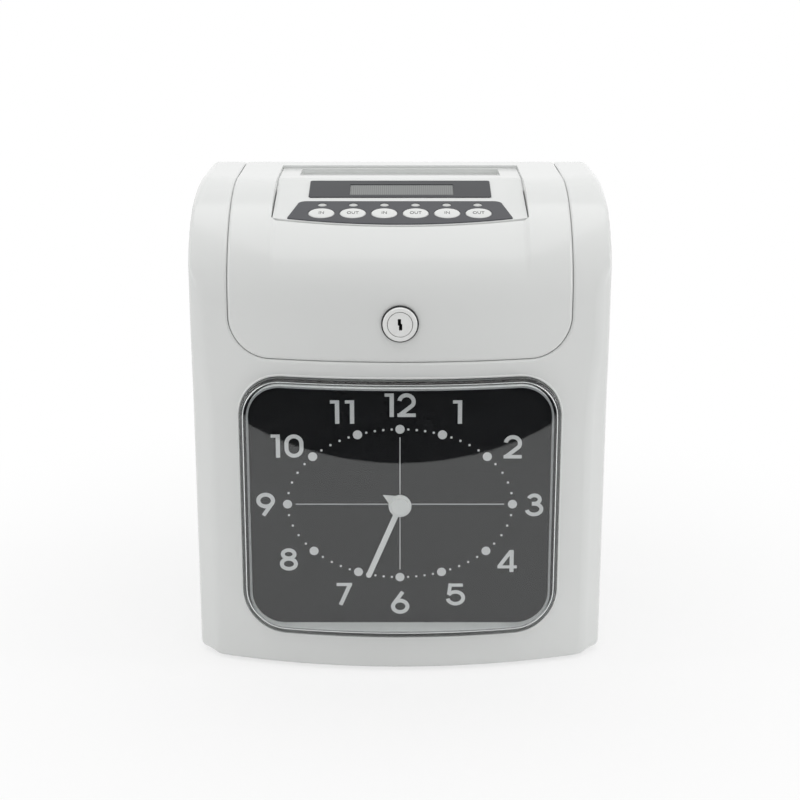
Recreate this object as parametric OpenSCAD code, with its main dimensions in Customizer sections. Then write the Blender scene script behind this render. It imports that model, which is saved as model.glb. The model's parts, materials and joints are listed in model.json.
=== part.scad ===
// Card time recorder with an analogue dial, a hinged and locked top cover, a control panel and a printer.
// Frame: X to the viewer's right, the front faces -Y, Z up, origin on the table under the middle of the case.

/* [Case] */
// Width over the side walls
body_w = 218; // [200:1:240]
// Height from the table to the flat top
body_h = 252; // [248:1:270]
// Depth from the middle of the front to the back
body_d = 150; // [146:1:170]
// Plan radius of the bowed front
front_r = 300; // [260:5:400]
// Wall of the moulded shells
wall = 2.5; // [2:0.1:3]
// Depth of the rounded shoulder between front and top
shoulder_depth = 67; // [60:1:72]
// Rise of the rounded shoulder
shoulder_rise = 53; // [48:1:58]
// Corner radius between the top and the sides
top_corner_r = 6; // [5.5:0.5:16]
// Corner radius between the floor and the sides
bottom_corner_r = 5; // [5:0.5:12]
// Radius of the rear top edge, which is also the hinge's distance from top and back
rear_edge_r = 9; // [8.5:0.1:11]

/* [Side bands] */
// Width of the bevel down the front edges beside the cover
band_upper = 6.1; // [4:0.1:8]
// Width of the bevel beside the dial
band_lower = 10; // [8:0.1:11]
// Height at which the upper width ends
band_upper_z = 182; // [170:1:200]
// Height at which the lower width starts
band_lower_z = 135; // [110:1:150]

/* [Top cover] */
// Distance of the cover's sides from the case's sides
cover_side = 21.2; // [16:0.1:25]
// Height of the cover from its lower edge to the top
cover_h = 82; // [78:0.5:83]
// Radius of the cover's lower corners
cover_corner_r = 21; // [12:1:30]
// Open seam between the cover and its neighbours
seam_gap = 0.5; // [0.4:0.1:1]
// Width of the ledge that backs the seam
ledge_w = 4; // [3:0.5:6]
// Height of the cover's rear skirt below the hinge axis
skirt_drop = 7; // [5:0.5:8]
// Opening angle of the cover
cover_opening = 75; // [40:1:75]

/* [Hinge] */
// Radius of the hinge pins
pin_r = 2; // [1.5:0.1:2.5]
// Running clearance of a pin or shaft in its hole
running_gap = 0.05; // [0.02:0.01:0.1]
// Distance of each hinge from the middle
hinge_x = 62; // [50:1:70]
// Length of the fixed knuckle
knuckle_len = 15.4; // [10:0.2:20]
// Width of each ear on the cover
ear_w = 4; // [3:0.5:6]
// Side gap between ear and knuckle
knuckle_gap = 0.3; // [0.2:0.1:0.6]

/* [Lock] */
// Height of the lock above the cover's lower edge
lock_rise = 20; // [17:0.5:24]
// Diameter of the lock's face ring
lock_face_d = 19; // [17:0.5:23]
// Thickness of the face ring
lock_face_t = 2.4; // [1.5:0.1:4]
// Diameter of the lock's barrel
lock_barrel_d = 15.8; // [14.5:0.1:16.5]
// Diameter of the turning plug
plug_d = 12.5; // [11:0.1:13]
// Length of the cam from the lock's axis
cam_len = 24; // [23:0.5:26]

/* [Control panel] */
// Distance of the panel's sides from the cover's sides
panel_side = 22.3; // [19.8:0.1:26]
// Distance of the slope's rear end from the back
panel_rest = 61; // [58:0.5:66]
// Setback of the panel's front edge from the middle of the case's front
panel_setback = 21.4; // [20:0.2:24]
// Depth of the panel's front edge below the top
panel_drop = 15.8; // [15.2:0.1:16.5]
// Depth of the level part behind the panel below the top
slot_flat_drop = 1.8; // [1:0.1:3]
// Plan radius of the panel's front edge
panel_edge_r = 214; // [190:1:260]
// Thickness of the panel
panel_t = 2.5; // [2:0.1:3]
// Distance of the outer keys from the panel's sides
button_side = 25; // [22:0.5:28]
// Space between neighbouring keys
button_space = 2.8; // [2.4:0.1:4]
// Travel of a key
button_travel = 0.6; // [0.3:0.05:0.6]
// Gap round a key
button_gap = 0.3; // [0.25:0.05:0.5]
// Diameter of an indicator lamp
led_d = 4.6; // [3:0.1:5]
// Distance of the dark strip's ends from the panel's sides
lcd_bezel_side = 17.2; // [14:0.2:24]
// Width of the display glass
lcd_w = 55; // [40:1:60]
// Margin of the dark strip above and below the display glass, in all
lcd_rim = 9.5; // [8:0.1:12]

/* [Card path] */
// Width of the card chute
chute_w = 90; // [86:1:94]
// Gap of the card chute
card_gap = 5; // [4.6:0.1:6]
// Distance of the chute's middle from the back
card_back = 36.5; // [35:0.5:38]
// Width of the slot's mouth
mouth_w = 110; // [102:1:112]
// Depth of the slot's mouth, front to back
mouth_d = 25.5; // [20:0.5:26]

/* [Dial] */
// Height of the lens's lower edge above the table
lens_low = 20.8; // [19:0.2:24]
// Gap between the lens and the cover's lower edge
lens_gap = 9.2; // [8.8:0.2:12]
// Distance of the lens's sides from the case's sides
lens_side = 25.7; // [23.6:0.1:28]
// Corner radius of the clear lens
lens_corner_r = 22.5; // [16:0.5:30]
// How far the lens stands out from the front
lens_proud = 5; // [3:0.2:7]
// Thickness of the lens
lens_t = 2; // [1.6:0.1:2.5]
// Depth of the dial's face behind the middle of the case's front
dial_depth = 10; // [9:0.2:12]
// Length of the minute hand from the axis
minute_len = 43.4; // [36:0.2:50]
// Width of the minute hand
minute_w = 2.9; // [2:0.1:4]
// Bearing of the minute hand, clockwise from the top
minute_bearing = 203; // [0:1:359]
// Length of the hour hand from the axis
hour_len = 10.5; // [8:0.5:34]
// Bearing of the hour hand, clockwise from the top
hour_bearing = 302; // [0:1:359]

/* [Movement] */
// Side of the square movement case
movement_w = 58; // [56:1:64]
// Depth of the movement case
movement_d = 20.2; // [20:0.2:24]
// Module of the motion work
motion_module = 0.6; // [0.5:0.05:0.65]
// Module of the going train
train_module = 0.5; // [0.45:0.05:0.55]

/* [Printer] */
// Inner width between the chassis plates
chassis_w = 100; // [98:1:104]
// Thickness of the chassis plates
plate_t = 2; // [1.5:0.1:2.5]
// Height of the print line below the top
print_drop = 52; // [50:0.5:54]
// Travel of the carriage to each side
carriage_travel = 28; // [15:1:30]
// Radius of the carriage's guide shaft
guide_shaft_r = 3; // [2.5:0.1:3.5]
// Radius of the lead screw
lead_screw_r = 3; // [2.5:0.1:3.5]
// Depth of the feed roller's axis below the top
feed_drop = 122; // [116:1:126]
// Radius of the feed roller's tyres
feed_r = 8; // [7:0.1:9]
// Radius of the pinch roller's tyres
pinch_r = 7; // [6:0.1:7.5]
// Module of the drive gears
drive_module = 0.8; // [0.7:0.05:0.85]

/* [Base and back] */
// Height of the rubber feet
foot_h = 1.5; // [1.4:0.1:3]
// Diameter of the rubber feet
foot_d = 14; // [10:1:18]
// Distance of the base plate's lower step from the case's sides
base_side = 21; // [17.5:0.5:25]
// Distance between the wall keyholes
keyhole_pitch = 120; // [100:1:130]
// Radius of a keyhole's entry
keyhole_r = 4.5; // [4:0.1:6]
// Radius of a fastening screw's shank
screw_r = 1.5; // [1.2:0.1:1.8]

/* [Hidden] */
$fn = 96;
white = "#ECEEEC";
dark_grey = "#5C5E62";
black = "#1B1C1F";
steel = "#B9BDC2";
brass = "#C9A552";
green = "#2F6B45";
rubber_grey = "#2A2A2C";

floor_z = foot_h;
top_z = body_h;
front_y = (lens_proud - body_d)/2;
back_y = front_y + body_d;
axis_y = front_y + front_r;
reach = 3*body_d;
shoulder_steps = 18;
band_steps = 6;
fit = 0.3;
touch = 0.02;

hinge_y = back_y - rear_edge_r;
hinge_z = top_z - rear_edge_r;
knuckle_r = rear_edge_r - wall - 1.5;
ear_r = rear_edge_r - wall - 1;
skirt_z = hinge_z - skirt_drop;
skirt_sweep = sqrt(pow(rear_edge_r, 2) + pow(skirt_drop, 2)) + 0.4;
rear_top_z = hinge_z - sqrt(pow(skirt_sweep, 2) - pow(rear_edge_r - wall, 2));

bracket_foot_h = 7;
bracket_foot_z = rear_top_z - 4 - bracket_foot_h;
bracket_screw_z = bracket_foot_z + bracket_foot_h/2;

cover_w = body_w - 2*cover_side;
cover_bottom_z = top_z - cover_h;
lock_z = cover_bottom_z + lock_rise;
lock_y = front_y;
nut_t = 3.7;
barrel_len = 19;
cam_y = lock_y + barrel_len + 2.6;
cam_t = 2;
cam_w = 12;
tail_w = 5;
strike_t = 1.8;

panel_y = front_y + panel_setback;
panel_z = top_z - panel_drop;
slot_flat_z = top_z - slot_flat_drop;
panel_w = cover_w - 2*panel_side;
panel_run = body_d - panel_setback - panel_rest;
panel_tilt = atan((slot_flat_z - panel_z)/panel_run);
panel_len = panel_run/cos(panel_tilt);
panel_back_y = back_y - 23.5;
overlay_t = 0.5;
window_w = panel_w + 2*seam_gap;
cheek_t = 2;
button_pitch = (panel_w - 2*button_side)/5;
button_d = button_pitch - button_space;
button_v = 0.2274*panel_len;
button_flange_r = button_d/2 + 0.9;
button_proud = 1.3;
led_v = button_v + button_d/2 + 5.3;
board_w = panel_w - 37;
board_t = 1.6;
board_top = -9.4;
switch_top = -5.9;
lcd_bezel_w = panel_w - 2*lcd_bezel_side;
lcd_bezel_v = 0.565*panel_len;
lcd_bezel_h = 0.3607*panel_len;
lcd_v = lcd_bezel_v + 3.4;
lcd_x = 0.9;
lcd_h = lcd_bezel_h - lcd_rim;

card_y = back_y - card_back;
mouth_y = card_y - 14.5;
funnel_wall = 1.8;
funnel_bottom = slot_flat_z - panel_t - 13.7;
guide_t = 2;
guide_top = funnel_bottom - fit;
guide_bottom = 60;

lens_w = body_w - 2*lens_side;
lens_h = cover_bottom_z - lens_gap - lens_low;
dial_z = lens_low + lens_h/2;
lens_front_r = front_r + lens_proud;
ring_w = 6;
flange_w = 4;
flange_t = 2;
ring_y = front_y + 17;
backing_y = ring_y + flange_t;
backing_t = 1.8;
backing_w = lens_w + 24.4;
dial_y = front_y + dial_depth;
dial_t = 1.5;
movement_y = backing_y + backing_t;
movement_back = movement_y + movement_d;
case_t = 1.5;
arbor_r = 0.9;
tube_r = 1.9;
minute_y = dial_y - 2.8;
hour_y = dial_y - 1.1;
hand_t = 0.8;
hub_r = 6;
boss_r = 4.6;

pressure_angle = 28;
tooth_share = 0.42;
addendum = 0.8;
dedendum = 1.1;
wheel_t = 1.5;
cannon_teeth = 10;
motion_teeth = 30;
motion_pinion_teeth = 8;
hour_teeth = 32;
centre_teeth = 60;
third_pinion_teeth = 10;
third_teeth = 40;
rotor_teeth = 8;
motion_c = motion_module*(cannon_teeth + motion_teeth)/2;
third_c = train_module*(centre_teeth + third_pinion_teeth)/2;
rotor_c = train_module*(third_teeth + rotor_teeth)/2;
third_angle = 210;
rotor_angle = 120;
third_pos = third_c*[cos(third_angle), sin(third_angle)];
rotor_pos = third_pos + rotor_c*[cos(rotor_angle), sin(rotor_angle)];
layer_a = movement_y + 2.2;
layer_b = layer_a + 2;
layer_c = layer_b + 2.5;
layer_d = layer_c + 3;

chassis_x = chassis_w/2;
chassis_y0 = card_y - 46.5;
chassis_y1 = card_y + 19.5;
chassis_top = top_z - 21;
chassis_foot_w = 12;
chassis_foot_x = chassis_x + plate_t + chassis_foot_w/2;
base_top = floor_z + wall + 2;
print_z = top_z - print_drop;
feed_z = top_z - feed_drop;
carriage_w = 22;
shaft_y = card_y - 24.5;
shaft_z = print_z - 10;
screw_y = shaft_y;
screw_z = shaft_z - 14;
carriage_bottom = screw_z - 6;
screw_teeth = 30;
pinion_teeth = 12;
feed_teeth = 40;
gear_x = chassis_x + plate_t + 1.5;
gear_t = 5;
screw_c = drive_module*(screw_teeth + pinion_teeth)/2;
feed_c = drive_module*(feed_teeth + pinion_teeth)/2;
screw_motor_angle = -120;
feed_motor_angle = -75;
feed_y = card_y + 0.25 + feed_r;
pinch_y = card_y - 0.25 - pinch_r;
feed_shaft_r = 3;
pinch_shaft_r = 2;
motor_r = 8;
motor_len = 30;
tyre_x = 12;
tyre_len = 20;
screw_motor_y = screw_y + screw_c*cos(screw_motor_angle);
screw_motor_z = screw_z + screw_c*sin(screw_motor_angle);
feed_motor_y = feed_y + feed_c*cos(feed_motor_angle);
feed_motor_z = feed_z + feed_c*sin(feed_motor_angle);
motor_shaft_r = 1.2;

base_w = body_w - 2*base_side;
base_y0 = front_y + 27;
base_y1 = back_y - 13;
base_lip = 5;
head_ratio = 1.9;
head_height = 0.88;
seat_y = back_y - head_height*screw_r - 0.1;
boss_x = body_w/2 - wall - 4;
boss_zs = [floor_z + 23.5, top_z - 37];
backing_boss_x = lens_w/2 + 8.2;
backing_boss_z = lens_h/2 - 12;
strike_z0 = dial_z + lens_h/2 + flange_w + 0.7;
strike_z1 = cover_bottom_z - seam_gap - 0.2;
strike_boss_x = 8;
foot_x = base_w/2 - 13;
foot_ys = [base_y0 + 13, base_y1 - 13];
board_stand = 4.9;
main_board_y = back_y - wall - board_stand - board_t;
main_board_w = 140;
main_board_zs = [floor_z + 58.5, top_z - 52];
inlet_x = body_w/2 - 27.5;
inlet_z = floor_z + 28.5;
inlet_w = 13.6;
inlet_h = 11.6;
inlet_len = 15;
keyhole_z = top_z - 67;

// Placing helpers

// Draws a flat X and Z shape as a prism along Y, from y0 back to y1
module along_y(y0, y1) {
    translate([0, y1, 0])
        rotate([90, 0, 0])
            linear_extrude(height = y1 - y0)
                children();
}

// Draws a flat Y and Z shape as a prism along X, from x0 to x1
module along_x(x0, x1) {
    translate([x0, 0, 0])
        rotate([90, 0, 90])
            linear_extrude(height = x1 - x0)
                children();
}

// Round bar along Y on the axis x, z
module bar_y(x, z, r, y0, y1) {
    translate([x, y1, z])
        rotate([90, 0, 0])
            cylinder(r = r, h = y1 - y0);
}

// Round bar along X on the axis y, z
module bar_x(y, z, r, x0, x1) {
    translate([x0, y, z])
        rotate([0, 90, 0])
            cylinder(r = r, h = x1 - x0);
}

// Box between two corners
module block(low, high) {
    translate(low)
        cube(high - low);
}

// Stands its children on the panel: X across, Y up the slope, Z out of the panel
module on_panel() {
    translate([0, panel_y, panel_z])
        rotate([panel_tilt, 0, 0])
            children();
}

// Rounded rectangle about the middle
module rounded_rect(w, h, r) {
    square([w, h - 2*r], center = true);
    square([w - 2*r, h], center = true);
    for (sx = [-1, 1])
        for (sy = [-1, 1])
            translate([sx*(w/2 - r), sy*(h/2 - r)])
                circle(r);
}

// Case form

function front_at(x) = axis_y - sqrt(pow(front_r, 2) - pow(x, 2));
function smooth(t) = t*t*(3 - 2*t);

// Bowed front with its shoulder, set in by k
module bowed_front(k) {
    shoulder = [
        for (i = [0:shoulder_steps])
            let (a = 90*i/shoulder_steps)
                [front_r - shoulder_depth + (shoulder_depth - k)*cos(a),
                 top_z - shoulder_rise + (shoulder_rise - k)*sin(a)]
    ];
    translate([0, axis_y, 0])
        rotate_extrude($fn = 180)
            polygon(concat([[0, floor_z + k], [front_r - k, floor_z + k]], shoulder, [[0, top_z - k]]));
}

// Outline of the case seen from the front, set in by k
module face_outline(k) {
    w = body_w/2 - k;
    rb = bottom_corner_r - k;
    rt = top_corner_r - k;
    z0 = floor_z + k;
    z1 = top_z - k;
    translate([-w, z0 + rb])
        square([2*w, z1 - z0 - rb - rt]);
    translate([rb - w, z0])
        square([2*(w - rb), 2*rb]);
    translate([rt - w, z1 - 2*rt])
        square([2*(w - rt), 2*rt]);
    for (s = [-1, 1]) {
        translate([s*(w - rb), z0 + rb])
            circle(rb, $fn = 48);
        translate([s*(w - rt), z1 - rt])
            circle(rt, $fn = 48);
    }
}

// Outline of the case seen from the side, with the rounded rear top edge, set in by k
module side_outline(k) {
    r = rear_edge_r - k;
    translate([-reach, 0])
        square([reach + back_y - k, hinge_z]);
    translate([-reach, 0])
        square([reach + hinge_y, top_z - k]);
    translate([hinge_y, hinge_z])
        circle(r);
}

// Bevel that is cut off a front edge, wider beside the dial than beside the cover
module side_band(s, k) {
    across = function (b) (body_w/2 - b - front_at(body_w/2 - b))/sqrt(2) - k;
    upper = across(band_upper);
    lower = across(band_lower);
    sway = [
        for (i = [0:band_steps])
            let (t = i/band_steps)
                [upper + (lower - upper)*smooth(t), band_upper_z + (band_lower_z - band_upper_z)*t]
    ];
    edge = concat([[upper, 2*body_h]], sway, [[lower, -body_h], [upper + body_w, -body_h]]);
    mirror([s < 0 ? 1 : 0, 0, 0])
        rotate([90, 0, -45])
            linear_extrude(height = 2*reach, center = true)
                polygon(concat(edge, [[upper + body_w, 2*body_h]]));
}

// Whole case as a solid, set in by k on every side
module case_form(k) {
    difference() {
        intersection() {
            bowed_front(k);
            along_y(-reach, reach)
                face_outline(k);
            along_x(-body_w, body_w)
                side_outline(k);
        }
        for (s = [-1, 1])
            side_band(s, k);
    }
}

// Space of the top cover seen from the front, grown by g
module cover_zone(g) {
    w = cover_w/2 + g;
    z0 = cover_bottom_z - g;
    r = cover_corner_r + g;
    along_y(-reach, reach) {
        translate([-w, z0 + r])
            square([2*w, body_h]);
        translate([r - w, z0])
            square([2*(w - r), 2*r]);
        for (s = [-1, 1])
            translate([s*(w - r), z0 + r])
                circle(r);
    }
}

// Plan of the panel and of the window round it, grown by g
module panel_plan(g) {
    w = panel_w/2 + g;
    intersection() {
        translate([-w, -reach])
            square([2*w, reach + panel_back_y + g]);
        translate([0, panel_y + panel_edge_r])
            circle(panel_edge_r + g);
    }
}

// Top line of the panel from front to back, as a strip between depths d0 and d1
module panel_strip(d0, d1) {
    ends = [[panel_y - 20, panel_z - 20*tan(panel_tilt)], [panel_y + panel_run, slot_flat_z],
            [panel_back_y + 10, slot_flat_z]];
    polygon([ends[0] - [0, d0], ends[1] - [0, d0], ends[2] - [0, d0],
             ends[2] - [0, d1], ends[1] - [0, d1], ends[0] - [0, d1]]);
}

// Casing

module seam_ledge() {
    difference() {
        union() {
            intersection() {
                case_form(wall/2);
                cover_zone(ledge_w);
            }
        }
        intersection() {
            case_form(0);
            cover_zone(seam_gap);
            difference() {
                translate([-reach, -reach, 0])
                    cube(2*reach);
                case_form(wall + 0.4);
            }
        }
        case_form(wall + 2);
        cover_zone(-ledge_w);
        block([-reach, hinge_y - ear_r - 5, -1], [reach, reach, reach]);
    }
}

module housing_bosses() {
    for (s = [-1, 1]) {
        for (z = boss_zs)
            bar_y(s*boss_x, z, 4.5, back_y - wall - 18, back_y - wall);
        for (dz = [-1, 1])
            intersection() {
                bar_y(s*backing_boss_x, dial_z + dz*backing_boss_z, 3.5, front_y, backing_y);
                case_form(wall/2);
            }
    }
    intersection() {
        block([-strike_boss_x - 4, front_y, strike_z0 + 0.1],
              [strike_boss_x + 4, backing_y, strike_z1 - 0.1]);
        case_form(wall/2);
    }
}

module front_housing() {
    color(white)
        difference() {
            union() {
                difference() {
                    case_form(0);
                    case_form(wall);
                    cover_zone(seam_gap);
                }
                seam_ledge();
                intersection() {
                    case_form(wall/2);
                    along_y(front_y - lens_proud, ring_y)
                        translate([0, dial_z])
                            rounded_rect(lens_w + 2*ring_w, lens_h + 2*ring_w, lens_corner_r + ring_w);
                }
                housing_bosses();
            }
            along_y(front_y - lens_proud, ring_y + 1)
                translate([0, dial_z])
                    rounded_rect(lens_w + 0.4, lens_h + 0.4, lens_corner_r + 0.2);
            intersection() {
                along_y(back_y - wall - touch, back_y + 1)
                    face_outline(wall);
                block([-reach, 0, 0], [reach, reach, rear_top_z + fit]);
            }
            block([-base_w/2 - fit, base_y0 - fit, -1],
                  [base_w/2 + fit, base_y1 + fit, floor_z + wall + touch]);
            for (s = [-1, 1]) {
                for (z = boss_zs)
                    bar_y(s*boss_x, z, screw_r + touch, back_y - wall - 14, back_y);
                for (dz = [-1, 1])
                    bar_y(s*backing_boss_x, dial_z + dz*backing_boss_z, screw_r + touch,
                          backing_y - 4, backing_y + 1);
                bar_y(s*strike_boss_x, (strike_z0 + strike_z1)/2, screw_r/2 + touch,
                      backing_y - 6, backing_y + 1);
                for (y = foot_ys)
                    translate([s*(base_w/2 + base_lip/2), y, -1])
                        cylinder(r = screw_r + 0.1, h = wall + 5);
            }
        }
}

module cover_ears() {
    for (s = [-1, 1])
        for (side = [-1, 1]) {
            x = s*hinge_x + side*(knuckle_len/2 + knuckle_gap + ear_w/2);
            bar_x(hinge_y, hinge_z, ear_r, x - ear_w/2, x + ear_w/2);
            intersection() {
                block([x - ear_w/2, hinge_y - ear_r, hinge_z], [x + ear_w/2, hinge_y + ear_r, top_z]);
                case_form(wall/2);
            }
        }
}

// Walls that run down from the cover beside the panel and behind the card slot
module window_walls() {
    for (s = [-1, 1])
        intersection() {
            case_form(wall/2);
            along_x(s*(window_w/2 + cheek_t/2) - cheek_t/2, s*(window_w/2 + cheek_t/2) + cheek_t/2)
                panel_strip(-20, panel_t + 1);
            block([-reach, panel_y + 11, 0], [reach, panel_back_y + seam_gap + cheek_t, reach]);
        }
    intersection() {
        case_form(wall/2);
        block([-window_w/2 - cheek_t, panel_back_y + seam_gap, slot_flat_z - panel_t - 1],
              [window_w/2 + cheek_t, panel_back_y + seam_gap + cheek_t, top_z]);
    }
}

module top_cover() {
    color(white)
        difference() {
            union() {
                difference() {
                    intersection() {
                        case_form(0);
                        cover_zone(0);
                    }
                    case_form(wall);
                    block([-reach, 0, -1], [reach, reach, skirt_z]);
                    translate([0, 0, panel_z - 15])
                        linear_extrude(height = body_h)
                            panel_plan(seam_gap);
                }
                window_walls();
                cover_ears();
            }
            bar_y(0, lock_z, lock_barrel_d/2 + 0.1, lock_y - 1, lock_y + 10);
            for (s = [-1, 1]) {
                bar_x(hinge_y, hinge_z, pin_r + running_gap,
                      s*hinge_x - knuckle_len, s*hinge_x + knuckle_len);
                block([s*hinge_x - knuckle_len/2 - knuckle_gap, hinge_y, skirt_z - 1],
                      [s*hinge_x + knuckle_len/2 + knuckle_gap, back_y + 1, hinge_z - 2]);
            }
        }
}

module rear_cover() {
    vent_rows = 9;
    vent_pitch = 8;
    color(white)
        difference() {
            union() {
                intersection() {
                    along_y(back_y - wall, back_y)
                        face_outline(wall + fit);
                    block([-reach, 0, 0], [reach, reach, rear_top_z]);
                }
                for (s = [-1, 1])
                    for (z = main_board_zs)
                        bar_y(s*(main_board_w/2 - 5), z + (z > body_h/2 ? -5 : 5), 3,
                              main_board_y + board_t, back_y - wall/2);
            }
            for (s = [-1, 1]) {
                for (p = [[boss_x, boss_zs[0]], [boss_x, boss_zs[1]], [hinge_x, bracket_screw_z]]) {
                    bar_y(s*p[0], p[1], screw_r + 0.1, back_y - wall - 1, back_y + 1);
                    bar_y(s*p[0], p[1], head_ratio*screw_r + fit, seat_y, back_y + 1);
                }
                bar_y(s*keyhole_pitch/2, keyhole_z, keyhole_r, back_y - wall - 1, back_y + 1);
                along_y(back_y - wall - 1, back_y + 1) {
                    translate([s*keyhole_pitch/2 - keyhole_r/2, keyhole_z])
                        square([keyhole_r, 2.2*keyhole_r]);
                    translate([s*keyhole_pitch/2, keyhole_z + 2.2*keyhole_r])
                        circle(keyhole_r/2);
                }
                for (i = [0:vent_rows - 1])
                    along_y(back_y - wall - 1, back_y + 1)
                        translate([s*38, dial_z - 10 + i*vent_pitch])
                            rounded_rect(50, 3, 1.4);
            }
            block([inlet_x - inlet_w/2 - 0.1, back_y - wall - 1, inlet_z - inlet_h/2 - 0.1],
                  [inlet_x + inlet_w/2 + 0.1, back_y + 1, inlet_z + inlet_h/2 + 0.1]);
        }
}

module base_plate() {
    color(white)
        difference() {
            union() {
                block([-base_w/2, base_y0, floor_z], [base_w/2, base_y1, base_top]);
                block([-base_w/2 - base_lip, base_y0 - base_lip, floor_z + wall],
                      [base_w/2 + base_lip, base_y1 + base_lip, base_top]);
            }
            for (s = [-1, 1])
                for (y = foot_ys) {
                    translate([s*foot_x, y, -1])
                        cylinder(r = foot_d/5 + touch, h = base_top + 2);
                    translate([s*(base_w/2 + base_lip/2), y, 0])
                        cylinder(r = screw_r + touch, h = base_top + 1);
                    translate([s*chassis_foot_x, chassis_screw_y(y), floor_z + 1])
                        cylinder(r = screw_r + touch, h = base_top);
                }
        }
}

module rubber_feet() {
    color(rubber_grey)
        for (s = [-1, 1])
            for (y = foot_ys)
                translate([s*foot_x, y, 0]) {
                    cylinder(r = foot_d/2, h = foot_h);
                    cylinder(r = foot_d/5, h = base_top);
                }
}

// Pan head screw with its head seated at the origin and its shank down -Z
module pan_screw(shank, r = screw_r) {
    difference() {
        cylinder(r = head_ratio*r, h = head_height*r);
        for (a = [0, 90])
            rotate(a)
                translate([-1.2*r, -0.2*r, 0.35*r])
                    cube([2.4*r, 0.4*r, r]);
    }
    translate([0, 0, -shank])
        cylinder(r = r, h = shank + touch);
}

module case_screws() {
    color(steel)
        for (s = [-1, 1]) {
            for (z = boss_zs)
                translate([s*boss_x, seat_y, z])
                    rotate([-90, 0, 0])
                        pan_screw(wall + 10);
            translate([s*hinge_x, seat_y, bracket_screw_z])
                rotate([-90, 0, 0])
                    pan_screw(wall + 6);
            for (y = foot_ys)
                translate([s*(base_w/2 + base_lip/2), y, floor_z])
                    rotate([180, 0, 0])
                        pan_screw(wall + 1.8);
        }
}

module hinge_brackets() {
    color(steel)
        for (s = [-1, 1])
            difference() {
                union() {
                    bar_x(hinge_y, hinge_z, knuckle_r, s*hinge_x - knuckle_len/2, s*hinge_x + knuckle_len/2);
                    block([s*hinge_x - knuckle_len/2, hinge_y - knuckle_r, bracket_foot_z],
                          [s*hinge_x + knuckle_len/2, hinge_y - 1.2, hinge_z]);
                    block([s*hinge_x - knuckle_len/2, hinge_y - knuckle_r, bracket_foot_z],
                          [s*hinge_x + knuckle_len/2, back_y - wall, bracket_foot_z + bracket_foot_h]);
                }
                bar_x(hinge_y, hinge_z, pin_r + touch, s*hinge_x - knuckle_len, s*hinge_x + knuckle_len);
                bar_y(s*hinge_x, bracket_screw_z, screw_r + touch, hinge_y - knuckle_r + 1, back_y);
            }
}

module hinge_pins() {
    half = knuckle_len/2 + knuckle_gap + ear_w + 0.6;
    color(steel)
        for (s = [-1, 1])
            bar_x(hinge_y, hinge_z, pin_r, s*hinge_x - half, s*hinge_x + half);
}

// Cam lock

module lock_body() {
    color("#D9DBD9")
        difference() {
            union() {
                bar_y(0, lock_z, lock_face_d/2, lock_y - lock_face_t, lock_y);
                bar_y(0, lock_z, lock_barrel_d/2, lock_y - 1, lock_y + barrel_len);
            }
            bar_y(0, lock_z, plug_d/2 + running_gap, lock_y - lock_face_t - 1, lock_y + barrel_len + 1);
        }
}

module lock_nut() {
    color(steel)
        difference() {
            translate([0, lock_y + wall + fit + nut_t, lock_z])
                rotate([90, 0, 0])
                    cylinder(r = lock_barrel_d/2 + 4, h = nut_t, $fn = 6);
            bar_y(0, lock_z, lock_barrel_d/2 + touch, lock_y, lock_y + barrel_len);
        }
}

module lock_plug() {
    color("#C9CBC9")
        difference() {
            union() {
                bar_y(0, lock_z, plug_d/2, lock_y - lock_face_t + 0.2, lock_y + barrel_len + 0.5);
                block([-tail_w/2, lock_y + barrel_len, lock_z - tail_w/2],
                      [tail_w/2, cam_y + cam_t + 0.6, lock_z + tail_w/2]);
            }
            block([-1.1, lock_y - lock_face_t - 1, lock_z - 0.4], [0.5, lock_y + 5, lock_z + 2.9]);
            block([-0.5, lock_y - lock_face_t - 1, lock_z - 2.9], [1.1, lock_y + 5, lock_z + 0.4]);
        }
}

module lock_cam() {
    color(steel)
        difference() {
            along_y(cam_y, cam_y + cam_t)
                translate([0, lock_z]) {
                    circle(cam_w/2);
                    translate([0, -cam_w/2])
                        square([cam_len, cam_w]);
                }
            block([-tail_w/2 - touch, cam_y - 1, lock_z - tail_w/2 - touch],
                  [tail_w/2 + touch, cam_y + cam_t + 1, lock_z + tail_w/2 + touch]);
        }
}

module lock_strike() {
    color(steel)
        difference() {
            block([-strike_boss_x - 4, backing_y, strike_z0],
                  [strike_boss_x + 4, backing_y + strike_t, strike_z1]);
            for (s = [-1, 1])
                bar_y(s*strike_boss_x, (strike_z0 + strike_z1)/2, screw_r/2 + touch,
                      backing_y - 1, backing_y + strike_t + 1);
        }
}

// Control panel

function button_x(i) = (i - 2.5)*button_pitch;

// Holes for the keys and lamps, drawn flat on the panel
module key_holes(grow) {
    for (i = [0:5]) {
        translate([button_x(i), button_v])
            circle(button_d/2 + button_gap);
        translate([button_x(i), led_v])
            circle(led_d/2 + grow);
    }
}

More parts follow.
